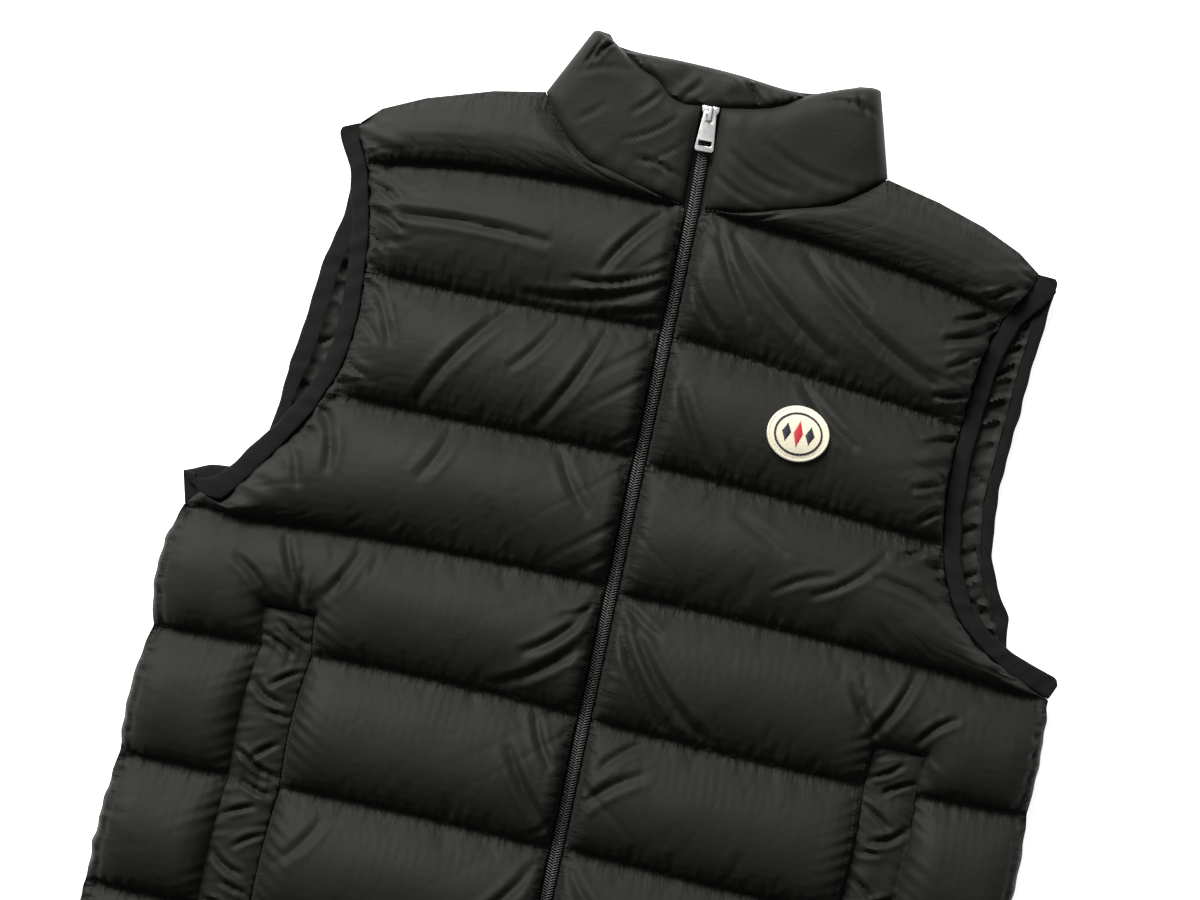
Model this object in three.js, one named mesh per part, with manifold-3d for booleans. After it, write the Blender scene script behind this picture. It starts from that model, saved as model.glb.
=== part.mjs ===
// A down puffer vest, zipped up and laid flat on its back, in millimetres with +Z up.
// X runs across it, the wearer's left at +X. Y runs from the hem, at 0, up to the collar.
// The back lies on the surface, the two fronts lie on the back, and the collar is flattened over it.

import * as THREE from "three";
import { mergeVertices } from "three/addons/utils/BufferGeometryUtils.js";
import Module from "manifold-3d";

const wasm = await Module();
wasm.setup();

// Thicknesses and clearances
const GAP = 0.3; // between neighbouring pieces
const BACK_TOP = 13.7; // height of the back's plain inner face
const FRONT_BASE = BACK_TOP + GAP; // height of the fronts' plain inner face
const SEAM = 3; // cloth and down where a seam holds them
const BACK_EDGE = 4; // the back's thickness at its outer edge
const FULLNESS = 2.4; // how square a channel's section is
const EDGE_RISE = 28; // from an outer edge to the full height of a channel
const ZIP_FLAT = 2.5; // stitched flat beside the zip
const ZIP_RISE = 15; // from there to the full height
const BACK_RISE = 24; // from the back's edge to where it lies on the surface

// Zip
const ZIP_X = 4;
const ZIP_HALF = 7; // from the zip's centre to the edge of a front
const ZIP_LEAN = 2.2; // how far the zip leans over the height of the collar
const NECK_Y = 619;
const ZIP_TOP = 680;
const TAPE = { half: 6.7, low: 14.3, high: 15.3 };
const CHAIN = { half: 3.5, low: 15.6, high: 18.1, top: 674.5 };
const BOX = { half: 4.5, low: 14, high: 18.4, height: 9 };

// Seams of each front, from the hem up: height at the zip and half way, outer end, and the loft and
// the outward bulge of the channel above the seam.
const RIGHT_SEAMS = [
  { name: "hem", zip: 0, mid: 0, x: -267, y: 0, loft: 3, bulge: 0.5 },
  { name: "hem_stitch", zip: 16, mid: 16, x: -267, y: 16, loft: 15, bulge: 3 },
  { name: "seam_8", zip: 58, mid: 58, x: -269, y: 58, loft: 20, bulge: 4 },
  { name: "seam_7", zip: 138, mid: 138, x: -274, y: 139, loft: 20, bulge: 2 },
  { name: "seam_6", zip: 217, mid: 219.5, x: -270, y: 220, loft: 20, bulge: 4 },
  { name: "seam_5", zip: 300, mid: 303, x: -266, y: 300, loft: 20, bulge: 7 },
  { name: "seam_4", zip: 381, mid: 380, x: -263, y: 376, loft: 20, bulge: 0 },
  { name: "seam_3", zip: 462, mid: 461, x: -190, y: 461, loft: 20, bulge: 0 },
  { name: "seam_2", zip: 542, mid: 538, x: -182, y: 539, loft: 19, bulge: 0 },
  { name: "seam_1", zip: 619, mid: 617, x: -195, y: 605, loft: 16, bulge: 0 },
];
const LEFT_SEAMS = [
  { name: "hem", zip: 0, mid: 0, x: 275, y: 0, loft: 3, bulge: 0.5 },
  { name: "hem_stitch", zip: 16, mid: 16, x: 275, y: 16, loft: 15, bulge: 3 },
  { name: "seam_8", zip: 58, mid: 57, x: 277, y: 57, loft: 20, bulge: 4 },
  { name: "seam_7", zip: 138, mid: 136, x: 280, y: 135, loft: 20, bulge: 3 },
  { name: "seam_6", zip: 219, mid: 213.5, x: 280, y: 214, loft: 20, bulge: 3 },
  { name: "seam_5", zip: 299, mid: 294.5, x: 281, y: 298, loft: 20, bulge: 2 },
  { name: "seam_4", zip: 378, mid: 375.5, x: 279, y: 369, loft: 20, bulge: 0 },
  { name: "seam_3", zip: 459, mid: 454.5, x: 194, y: 448, loft: 20, bulge: 0 },
  { name: "seam_2", zip: 539, mid: 531, x: 190, y: 523, loft: 19, bulge: 0 },
  { name: "seam_1", zip: 619, mid: 610, x: 203, y: 595, loft: 16, bulge: 0 },
];

// Armhole edges of the fronts and of the back, from the underarm to the shoulder, as x and y
const RIGHT_ARMHOLE = [
  [-248, 377], [-238, 381], [-228, 397], [-213, 418], [-200, 435], [-195, 447], [-187, 467],
  [-183, 480], [-181, 497], [-180, 515], [-184, 560], [-187, 575], [-190, 590], [-200, 614],
];
const LEFT_ARMHOLE = [
  [270, 372], [255, 377], [240, 383], [228, 390], [218, 399], [210, 408], [204, 418], [199, 430],
  [192, 460], [189, 480], [189, 500], [191, 540], [193, 560], [197, 580], [212, 609],
];
const BACK_RIGHT_ARMHOLE = [
  [-250, 386], [-232, 396], [-219, 412], [-213, 432], [-208, 460], [-203, 482], [-201, 505],
  [-199, 530], [-193, 560], [-190, 582], [-192, 600], [-198, 615],
];
const BACK_LEFT_ARMHOLE = [
  [266, 378], [253, 385], [243, 393], [236, 403], [228, 416], [219, 432], [214, 452], [210, 480],
  [212, 520], [214, 560], [216, 583], [218, 605],
];

// Where the back's upper seams end at its armholes
const BACK_RIGHT_ENDS = { seam_3: [-208, 461], seam_2: [-198, 539], seam_1: [-193, 604] };
const BACK_LEFT_ENDS = { seam_3: [214, 453], seam_2: [213, 535], seam_1: [217, 595] };

// Shoulder edges, from the neck to the armhole, and the neck seams, from the zip to the shoulder
const RIGHT_SHOULDER = [[-99, 669], [-130, 663], [-170, 650], [-195, 638], [-206, 627]];
const LEFT_SHOULDER = [[117, 660], [150, 653], [180, 644], [205, 633], [219, 623]];
const RIGHT_NECK = [
  [-3, 618.5], [-14, 620.3], [-30, 623], [-48, 627], [-65, 633], [-80, 643.5], [-91, 656], [-99, 669],
];
const LEFT_NECK = [
  [11, 618.5], [26, 620], [42, 622.5], [58, 627], [76, 632.5], [92, 640], [106, 650.5], [117, 660],
];
const BACK_NECK = [
  [-99, 668.7], [-86, 664.5], [-62, 657.2], [-30, 653.7], [9, 652.5], [48, 652.9], [80, 655.7],
  [104, 658.6], [117, 659.7],
];

// Main folds pressed into each front: ends, depth and half width
const RIGHT_FOLDS = [
  { from: [-180, 574], to: [-85, 578], depth: 3, width: 9 },
  { from: [-12, 606], to: [-38, 572], depth: 4, width: 10 },
  { from: [-10, 575], to: [-75, 548], depth: 4, width: 9 },
  { from: [-92, 535], to: [-135, 470], depth: 3.5, width: 11 },
  { from: [-35, 530], to: [-62, 468], depth: 3, width: 10 },
  { from: [-188, 450], to: [-180, 420], depth: 4, width: 10 },
  { from: [-15, 362], to: [-42, 330], depth: 4, width: 10 },
  { from: [-10, 345], to: [-50, 308], depth: 3.5, width: 10 },
  { from: [-35, 272], to: [-12, 240], depth: 4, width: 10 },
  { from: [-175, 345], to: [-190, 368], depth: 4, width: 9 },
];
const LEFT_FOLDS = [
  { from: [15, 572], to: [35, 548], depth: 4, width: 10 },
  { from: [35, 606], to: [100, 548], depth: 3.5, width: 11 },
  { from: [85, 603], to: [165, 545], depth: 3.5, width: 11 },
  { from: [90, 528], to: [125, 500], depth: 3, width: 10 },
  { from: [20, 505], to: [45, 465], depth: 3, width: 10 },
  { from: [125, 400], to: [163, 433], depth: 4, width: 10 },
  { from: [18, 362], to: [60, 305], depth: 4.5, width: 10 },
  { from: [30, 355], to: [80, 305], depth: 3.5, width: 9 },
  { from: [15, 250], to: [42, 275], depth: 4, width: 10 },
  { from: [178, 335], to: [193, 365], depth: 4, width: 9 },
];

// Grid of a front: shares of the way from zip to outer edge, and of the way up a channel
const ACROSS = [
  0, 0.012, 0.035, 0.07, 0.12, 0.18, 0.24, 0.3, 0.36, 0.42, 0.48, 0.54, 0.585, 0.61, 0.625, 0.65,
  0.685, 0.72, 0.74, 0.76, 0.8, 0.86, 0.92, 0.965, 0.988, 1,
];
const INSIDE_ACROSS = [1, 0.66, 0.33, 0];
const UP_CHANNEL = [0, 0.1, 0.32, 0.62, 0.88];
const UP_HEM = [0, 0.5];
const UP_SHOULDER = [0, 1 / 7, 2 / 7, 3 / 7, 4 / 7, 5 / 7, 6 / 7, 1];

// Grid of the back: shares across it outside the neck, on either side, and shares up a channel
const BACK_OUTER = [0, 0.025, 0.07, 0.15];
const BACK_FAR = [0.85, 0.93, 0.975, 1];
const BACK_UP = [0, 0.15, 0.5, 0.85];
const BACK_UP_HEM = [0, 0.4];
const BACK_UP_SHOULDER = [0, 0.2, 0.5, 0.8, 1];

// Pocket welt: its edges as shares across a front, and the rows where it starts and ends
const WELT = {
  inner: 0.625, outer: 0.74, across: [0.625, 0.65, 0.685, 0.72, 0.74],
  bottom: { channel: 2, up: 0.62 }, top: { channel: 5, up: 0.32 },
  hold: 0.2, rise: 24, edge: 1.2, crown: 4.5, endCrown: 0.25,
  holdFrom: 50, holdTo: 25, // how far above the bottom's and the top's seams the panel is held down
};

// Binding tape round each armhole: width along it and height range
const BINDING = { width: 13, front: [14, 16.6], back: [10.5, 12.8], crown: 0.5 };
const ARMHOLE_FROM = 6; // the first channel that ends at the armhole

// Collar: half heights of its outer and inner faces round the middle plane, from neck seam to top
const COLLAR_MIDDLE = 13.85;
const COLLAR = {
  up: [0, 0.07, 0.22, 0.5, 0.78, 0.93, 1],
  puff: [0, 0.45, 0.88, 1, 0.92, 0.62, 0.25],
  insideUp: [1, 0.6, 0.12, 0],
  insideHalf: [1, 1.8, 1.8, 0.45],
  seamHalf: 3.3,
  puffHalf: 10.55,
  wall: 8,
  lip: 3, // from the outer face to the inner one along the upper edge
  backFuller: 1.15,
};

// Badge on the wearer's left
const BADGE = { x: 94, y: 496, halfWidth: 19, halfHeight: 17, lift: 0.8, thick: 1.8 };

// Zip slider and its pull, round the bar that the pull turns on
const SLIDER = { y: 676.8, up: 4.4, down: 5.8, topHalf: 5.4, lowHalf: 4, plates: [[12.5, 14], [18.4, 20]] };
const BRIDGE = { half: 1.5, from: -5.2, to: 3.6, leg: 1.2, inside: 22.7, top: 23.9 };
const PULL = {
  low: 20.5, high: 22.1, bar: 0.9, topHalf: 4, lowHalf: 6, length: 24,
  windowHalf: 2.1, windowEnd: 6.2, slotHalf: 4, slotFrom: 17.4, slotTo: 20.6,
};

const cloth = (name) =>
  new THREE.MeshStandardMaterial({ name, color: 0x242423, roughness: 0.62, metalness: 0 });
const CLOTH = cloth("shell_cloth");
const TAPE_CLOTH = new THREE.MeshStandardMaterial({ name: "binding_tape", color: 0x1d1d1e, roughness: 0.85 });
const ZIP_CLOTH = new THREE.MeshStandardMaterial({ name: "zip_tape", color: 0x1a1a1a, roughness: 0.9 });
const TEETH = new THREE.MeshStandardMaterial({ name: "zip_teeth", color: 0x161616, roughness: 0.45 });
const SILVER = new THREE.MeshStandardMaterial({
  name: "zip_metal", color: 0xc9c9c6, roughness: 0.25, metalness: 1,
});
const FELT = new THREE.MeshStandardMaterial({ name: "badge_felt", color: 0xcfcabb, roughness: 0.9 });

// Small helpers
const mix = (a, b, t) => a + (b - a) * t;
const mixPoint = (p, q, t) => [mix(p[0], q[0], t), mix(p[1], q[1], t)];
const clamp = (t) => Math.min(1, Math.max(0, t));
const rise = (t) => Math.sqrt(1 - (1 - clamp(t)) ** 2);
const puff = (v) => (1 - Math.abs(2 * v - 1) ** FULLNESS) ** 0.75;
const zipX = (y) => ZIP_X - ZIP_LEAN * clamp((y - NECK_Y) / (ZIP_TOP - NECK_Y));

// The point at a share t of the length of an open line of points
function along(points, t) {
  const lengths = points.slice(1).map((p, i) => Math.hypot(p[0] - points[i][0], p[1] - points[i][1]));
  let left = t * lengths.reduce((a, b) => a + b, 0);
  for (let i = 0; i < lengths.length; i++) {
    if (left <= lengths[i] || i === lengths.length - 1)
      return mixPoint(points[i], points[i + 1], Math.min(1, left / lengths[i]));
    left -= lengths[i];
  }
}

// The y of a line of points at a given x
function heightAt(points, x) {
  const sorted = [...points].sort((p, q) => p[0] - q[0]);
  const i = Math.max(1, sorted.findIndex((p) => p[0] >= x));
  const [p, q] = [sorted[i - 1], sorted[i]];
  return mix(p[1], q[1], clamp((x - p[0]) / (q[0] - p[0])));
}

// Solids
// A closed solid through rings of equal length, with both ends closed by the triangles of end
function loft(rings, end) {
  const count = rings[0].length;
  const last = (rings.length - 1) * count;
  const faces = [];
  for (let r = 0; r < rings.length - 1; r++)
    for (let i = 0; i < count; i++) {
      const a = r * count + i;
      const b = r * count + ((i + 1) % count);
      faces.push([a, b, b + count], [a, b + count, a + count]);
    }
  for (const [i, j, k] of end) faces.push([k, j, i], [last + i, last + j, last + k]);
  return facingOut(rings.flat(2), faces);
}

// End triangles for a small flat ring, all from one of its points
const fan = (count) => Array.from({ length: count - 2 }, (_, i) => [0, i + 1, i + 2]);

// End triangles for a long thin ring, which runs out at the shares there and home at the shares back
function strip(there, back) {
  const triangles = [];
  const home = (j) => there.length + back.length - 1 - j;
  const backUp = [...back].reverse();
  let [i, j] = [0, 0];
  while (i < there.length - 1 || j < back.length - 1) {
    const stepThere = j === back.length - 1 || (i < there.length - 1 && there[i + 1] <= backUp[j + 1]);
    triangles.push(stepThere ? [i, i + 1, home(j)] : [i, home(j + 1), home(j)]);
    if (stepThere) i++;
    else j++;
  }
  return triangles;
}

// An indexed geometry whose faces point outwards
function facingOut(vertices, faces) {
  const at = (i) => new THREE.Vector3(vertices[3 * i], vertices[3 * i + 1], vertices[3 * i + 2]);
  const volume = faces.reduce((sum, [i, j, k]) => sum + at(i).dot(at(j).cross(at(k))), 0);
  const index = faces.flatMap(([i, j, k]) => (volume > 0 ? [i, j, k] : [i, k, j]));
  const geometry = new THREE.BufferGeometry();
  geometry.setAttribute("position", new THREE.Float32BufferAttribute(vertices, 3));
  geometry.setIndex(index);
  geometry.computeVertexNormals();
  return geometry;
}

function mesh(name, geometry, material) {
  const made = new THREE.Mesh(geometry, material);
  made.name = name;
  return made;
}

// One solid from several overlapping closed geometries
function joined(geometries) {
  const solids = geometries.map((geometry) => {
    const bare = geometry.clone();
    bare.deleteAttribute("normal");
    bare.deleteAttribute("uv");
    const merged = mergeVertices(bare, 1e-4);
    return new wasm.Manifold(
      new wasm.Mesh({
        numProp: 3,
        vertProperties: merged.attributes.position.array,
        triVerts: new Uint32Array(merged.index.array),
      }),
    );
  });
  const result = solids.reduce((all, solid) => all.add(solid)).getMesh();
  const geometry = new THREE.BufferGeometry();
  geometry.setAttribute("position", new THREE.BufferAttribute(new Float32Array(result.vertProperties), 3));
  geometry.setIndex(new THREE.BufferAttribute(new Uint32Array(result.triVerts), 1));
  geometry.computeVertexNormals();
  return geometry;
}

// Fronts
// The outer edge of a channel: the armhole where it has one, and otherwise a side that bulges.
function channelEdge(seams, armhole, shoulderEnd, k) {
  const low = [seams[k].x, seams[k].y];
  const high = k + 1 < seams.length ? [seams[k + 1].x, seams[k + 1].y] : shoulderEnd;
  const between = armhole.filter((p) => p[1] > low[1] + 0.5 && p[1] < high[1] - 0.5);
  if (between.length) return [low, ...between, high];
  const out = Math.sign(low[0]) * seams[k].bulge;
  return [0, 0.1, 0.3, 0.5, 0.7, 0.9, 1].map((t) => {
    const [x, y] = mixPoint(low, high, t);
    return [x + out * 4 * t * (1 - t), y];
  });
}

function makeFront(seams, armhole, neck, shoulder, folds) {
  const side = Math.sign(seams[0].x);
  const zipEdge = ZIP_X + side * ZIP_HALF;
  const top = seams.length - 1;

  // A point on seam k, at a share u from the zip out
  const seamPoint = (k, u) => {
    if (k > top) {
      const x = mix(shoulder[0][0], shoulder.at(-1)[0], u);
      return [x, heightAt(shoulder, x)];
    }
    const { zip, mid, x, y } = seams[k];
    const sag = mid - (zip + y) / 2;
    return [mix(zipEdge, x, u), mix(zip, y, u) + sag * 4 * u * (1 - u)];
  };

  // A point of channel k, at shares u across and v up, between its four edges
  const flatPoint = (k, u, v) => {
    const low = seamPoint(k, u);
    const high = seamPoint(k + 1, u);
    const inner = k === top ? neckPoint(v) : mixPoint(seamPoint(k, 0), seamPoint(k + 1, 0), v);
    const outer = along(channelEdge(seams, armhole, shoulder.at(-1), k), v);
    const innerShift = mixPoint(seamPoint(k, 0), seamPoint(k + 1, 0), v);
    const outerShift = mixPoint(seamPoint(k, 1), seamPoint(k + 1, 1), v);
    return [0, 1].map(
      (i) =>
        mix(low[i], high[i], v) + (1 - u) * (inner[i] - innerShift[i]) + u * (outer[i] - outerShift[i]),
    );
  };
  const neckPoint = (v) => {
    const i = Math.min(neck.length - 2, Math.floor(v * (neck.length - 1)));
    return mixPoint(neck[i], neck[i + 1], v * (neck.length - 1) - i);
  };

  // How far a pocket holds the panel down at a point
  const pocketHold = (u, y, width) => {
    const low = seams[WELT.bottom.channel].mid + WELT.holdFrom;
    const high = seams[WELT.top.channel].mid + WELT.holdTo;
    const aside = Math.max(WELT.inner - u, u - WELT.outer, 0) * width;
    const beyond = Math.max(low - y, y - high, 0);
    return WELT.hold + (1 - WELT.hold) * rise(Math.hypot(aside, beyond) / WELT.rise);
  };
  const foldDepth = (x, y) =>
    folds.reduce((sum, { from, to, depth, width }) => {
      const run = [to[0] - from[0], to[1] - from[1]];
      const length = Math.hypot(...run);
      const t = clamp(((x - from[0]) * run[0] + (y - from[1]) * run[1]) / length ** 2);
      const away = Math.hypot(x - from[0] - t * run[0], y - from[1] - t * run[1]);
      return sum + depth * Math.exp(-((away / width) ** 2));
    }, 0);

  const outerPoint = (k, u, v) => {
    const [x, y] = flatPoint(k, u, v);
    const inner = flatPoint(k, 0, v);
    const outer = flatPoint(k, 1, v);
    const width = Math.hypot(outer[0] - inner[0], outer[1] - inner[1]);
    const fill =
      puff(v) * rise((u * width - ZIP_FLAT) / ZIP_RISE) * rise(((1 - u) * width) / EDGE_RISE) *
      pocketHold(u, y, width);
    return [x, y, FRONT_BASE + SEAM + seams[k].loft * fill - foldDepth(x, y) * Math.min(1, fill * 1.5)];
  };

  const levels = seams.flatMap((seam, k) =>
    (k === 0 ? UP_HEM : k === top ? UP_SHOULDER : UP_CHANNEL).map((v) => ({ k, v })),
  );
  const rings = levels.map(({ k, v }) => [
    ...ACROSS.map((u) => outerPoint(k, u, v)),
    ...INSIDE_ACROSS.map((u) => [...flatPoint(k, u, v), FRONT_BASE]),
  ]);
  const armholeLine = levels.filter(({ k }) => k >= ARMHOLE_FROM).map(({ k, v }) => flatPoint(k, 1, v));
  return { geometry: loft(rings, strip(ACROSS, INSIDE_ACROSS)), outerPoint, levels, armholeLine };
}

// A padded strip over the pocket, on the front's own points
function makeWelt(front) {
  const after = (a, b) => a.k > b.channel || (a.k === b.channel && a.v >= b.up - 1e-6);
  const before = (a, b) => a.k < b.channel || (a.k === b.channel && a.v <= b.up + 1e-6);
  const rows = front.levels.filter((row) => after(row, WELT.bottom) && before(row, WELT.top));
  const rings = rows.map(({ k, v }, r) => {
    const end = r === 0 || r === rows.length - 1 ? WELT.endCrown : 1;
    const onPanel = WELT.across.map((u) => front.outerPoint(k, u, v));
    const under = onPanel.map(([x, y, z]) => [x, y, z + GAP]);
    const over = onPanel.map(([x, y, z], i) => {
      const t = i / (WELT.across.length - 1);
      return [x, y, z + GAP + WELT.edge + WELT.crown * end * puff(mix(0.06, 0.94, t))];
    });
    return [...over, ...under.reverse()];
  });
  return loft(rings, strip(WELT.across, [...WELT.across].reverse()));
}

// Back
function makeBack() {
  const withEnds = (seams, ends) =>
    seams.map((seam) => (ends[seam.name] ? { ...seam, x: ends[seam.name][0], y: ends[seam.name][1] } : seam));
  const edges = [withEnds(RIGHT_SEAMS, BACK_RIGHT_ENDS), withEnds(LEFT_SEAMS, BACK_LEFT_ENDS)];
  const armholes = [BACK_RIGHT_ARMHOLE, BACK_LEFT_ARMHOLE];
  const shoulderEnds = [RIGHT_SHOULDER.at(-1), LEFT_SHOULDER.at(-1)];
  const upperEdge = [...RIGHT_SHOULDER.slice(1), ...BACK_NECK, ...LEFT_SHOULDER.slice(1)];
  const top = RIGHT_SEAMS.length - 1;
  const leftEnd = shoulderEnds[0][0];
  const span = shoulderEnds[1][0] - leftEnd;
  const columns = [...BACK_OUTER, ...BACK_NECK.map((p) => (p[0] - leftEnd) / span), ...BACK_FAR];

  const seamPoint = (k, u) => {
    if (k > top) {
      const x = leftEnd + span * u;
      return [x, heightAt(upperEdge, x)];
    }
    const [r, l] = edges.map((seams) => seams[k]);
    return [mix(r.x, l.x, u), mix(mix(r.y, l.y, u), (r.zip + l.zip) / 2, 4 * u * (1 - u))];
  };
  const flatPoint = (k, u, v) => {
    const low = seamPoint(k, u);
    const high = seamPoint(k + 1, u);
    const ends = edges.map((seams, i) => along(channelEdge(seams, armholes[i], shoulderEnds[i], k), v));
    const shifts = [0, 1].map((end) => mixPoint(seamPoint(k, end), seamPoint(k + 1, end), v));
    return [0, 1].map(
      (i) =>
        mix(low[i], high[i], v) + (1 - u) * (ends[0][i] - shifts[0][i]) + u * (ends[1][i] - shifts[1][i]),
    );
  };

  // The underside lies flat and rounds up to every edge, higher where a seam ends.
  const underside = (k, u, v) => {
    const [x, y] = flatPoint(k, u, v);
    const fromSide = Math.min(x - flatPoint(k, 0, v)[0], flatPoint(k, 1, v)[0] - x);
    const fromTop = heightAt(upperEdge, x) - y;
    const pinch = 1 + 0.5 * (1 - puff(v));
    const near = Math.min(
      rise(fromSide / (BACK_RISE * pinch)), rise(y / BACK_RISE), rise(fromTop / BACK_RISE),
    );
    return [x, y, (BACK_TOP - BACK_EDGE) * (1 - near)];
  };
  const levels = RIGHT_SEAMS.flatMap((seam, k) =>
    (k === 0 ? BACK_UP_HEM : k === top ? BACK_UP_SHOULDER : BACK_UP).map((v) => ({ k, v })),
  );
  const rings = levels.map(({ k, v }) => [
    ...columns.map((u) => underside(k, u, v)),
    ...[...columns].reverse().map((u) => [...flatPoint(k, u, v), BACK_TOP]),
  ]);
  const fromArmhole = levels.filter(({ k }) => k >= ARMHOLE_FROM);
  const armholeLines = [0, 1].map((u) => fromArmhole.map(({ k, v }) => flatPoint(k, u, v)));
  return { geometry: loft(rings, strip(columns, [...columns].reverse())), armholeLines };
}

// Collar
// Stations round the flattened band: its foot, its upper edge, which face shows (1 the front, -1 the
// back, between them the side folds), how full it is, and the side that a fold turns in from.
const FOLD_FACES = [0.72, 0, -0.72, -0.96];
function collarStations() {
  const foot = ([x, y]) => [x, y + GAP];
  const rightTops = [
    [-5.2, 680], [-15, 680], [-25, 684], [-33, 693], [-46, 699.5], [-60, 705.5], [-69, 709.8],
  ];
  const leftTops = [
    [8.8, 681], [20, 683], [32, 685.5], [45, 690.5], [58, 699], [73, 705.5], [87, 710.5],
  ];
  const backTops = [[-50, 704.6], [-22, 705], [12, 704], [48, 701], [70, 703.5]];
  const byZip = (neck, tops, side, t, fill) => ({
    foot: foot(mixPoint(neck[0], neck[1], t)), top: mixPoint(tops[0], tops[1], t), face: 1, fill, side,
  });
  const front = (neck, tops, side) => [
    byZip(neck, tops, side, 0, 0.08), byZip(neck, tops, side, 0.28, 0.25), byZip(neck, tops, side, 0.6, 0.62),
    ...tops.slice(1).map((top, i) => ({
      foot: foot(neck[i + 1]), top, face: i === 5 ? 0.96 : 1, fill: i === 0 ? 0.9 : 1, side,
    })),
  ];
  const fold = (foots, tops, side) =>
    foots.map((point, i) => ({ foot: foot(point), top: tops[i], face: FOLD_FACES[i], fill: 1, side }));
  return [
    ...front(RIGHT_NECK, rightTops, 1),
    ...fold(
      [mixPoint(RIGHT_NECK[6], RIGHT_NECK[7], 0.62), [-98.8, 669.4], [-94.5, 667.6], BACK_NECK[1]],
      [[-75.5, 712], [-79, 710.5], [-77, 709.5], [-69, 707]], 1,
    ),
    ...BACK_NECK.slice(2, 7).map((p, i) => ({ foot: foot(p), top: backTops[i], face: -1, fill: 1, side: 1 })),
    ...fold(
      [mixPoint(LEFT_NECK[6], LEFT_NECK[7], 0.62), [116.8, 660.6], [112.5, 659.7], BACK_NECK[7]],
      [[96.5, 712.5], [102, 711.5], [98.5, 709.5], [90, 706.5]], -1,
    ).reverse(),
    ...front(LEFT_NECK, leftTops, -1).reverse(),
  ];
}

function makeCollar() {
  const { up, puff: fullness, insideUp, insideHalf, seamHalf, puffHalf, wall, lip, backFuller } = COLLAR;
  const rings = collarStations().map(({ foot, top, face, fill, side }) => {
    const turned = Math.sqrt(1 - face * face);
    const outside = up.map((h, i) => {
      const share = face < 0 ? Math.min(1, fullness[i] * backFuller) : fullness[i];
      return [...mixPoint(foot, top, h), COLLAR_MIDDLE + face * (seamHalf + puffHalf * share * fill)];
    });
    const inside = insideUp.map((h, i) => {
      const [x, y] = mixPoint(foot, top, h);
      const inset = side * turned * (i === insideUp.length - 1 ? lip : lip + wall);
      return [x + inset, y, COLLAR_MIDDLE + face * insideHalf[i]];
    });
    return [...outside, ...inside];
  });
  return loft(rings, strip(up, insideUp));
}

// Binding
// A flat tape outside the edge of an armhole, from the side seam, where it is wider, to the shoulder
function makeBinding(edge, out, [low, high], { width, lean }) {
  const rings = edge.map(([x, y], i) => {
    const ahead = edge[Math.min(edge.length - 1, i + 1)];
    const behind = edge[Math.max(0, i - 1)];
    const length = Math.hypot(ahead[0] - behind[0], ahead[1] - behind[1]);
    const normal = [(out * (ahead[1] - behind[1])) / length, (-out * (ahead[0] - behind[0])) / length];
    const near = clamp(1 - i / 5);
    const reach = mix(BINDING.width, width, near);
    const at = (share, z) => {
      const d = 2 * GAP + reach * share;
      return [x + normal[0] * d + out * lean * near * share, y + normal[1] * d, z];
    };
    return [at(0, high), at(0.5, high + BINDING.crown), at(1, high), at(1, low), at(0.5, low), at(0, low)];
  });
  return loft(rings, fan(6));
}

// Zip
// A strip that follows the zip; rows give y and the distances from the zip's centre.
function zipStrip(rows, low, high) {
  const rings = rows.map(([y, from, to]) => {
    const x = zipX(y);
    return [[x + from, y, low], [x + to, y, low], [x + to, y, high], [x + from, y, high]];
  });
  return loft(rings, fan(4));
}

function makeZipTape(side) {
  const rows = [
    [0, BOX.half + GAP, TAPE.half], [BOX.height, BOX.half + GAP, TAPE.half],
    [BOX.height + 1, 0.2, TAPE.half], [NECK_Y, 0.2, TAPE.half], [CHAIN.top, 0.2, TAPE.half],
    [CHAIN.top + 1.2, 2.3, TAPE.half], [ZIP_TOP, 2.3, TAPE.half],
  ];
  return zipStrip(rows.map(([y, a, b]) => [y, side * a, side * b]), TAPE.low, TAPE.high);
}

function makeChain() {
  const rows = [BOX.height + GAP, NECK_Y, CHAIN.top].map((y) => [y, -CHAIN.half, CHAIN.half]);
  return zipStrip(rows, CHAIN.low, CHAIN.high);
}

// A flat plate of a given outline between two heights
function plate(points, low, high, holes = []) {
  const shape = new THREE.Shape(points.map((p) => new THREE.Vector2(...p)));
  shape.holes = holes.map((hole) => new THREE.Path(hole.map((p) => new THREE.Vector2(...p))));
  const geometry = new THREE.ExtrudeGeometry(shape, { depth: high - low, bevelEnabled: false });
  return geometry.translate(0, 0, low);
}

function makeZipBox() {
  const h = BOX.half;
  const outline = [[-h + 1, 0], [h - 1, 0], [h, 1], [h, BOX.height], [-h, BOX.height], [-h, 1]];
  return plate(outline, BOX.low, BOX.high).translate(ZIP_X, 0, 0);
}

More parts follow.
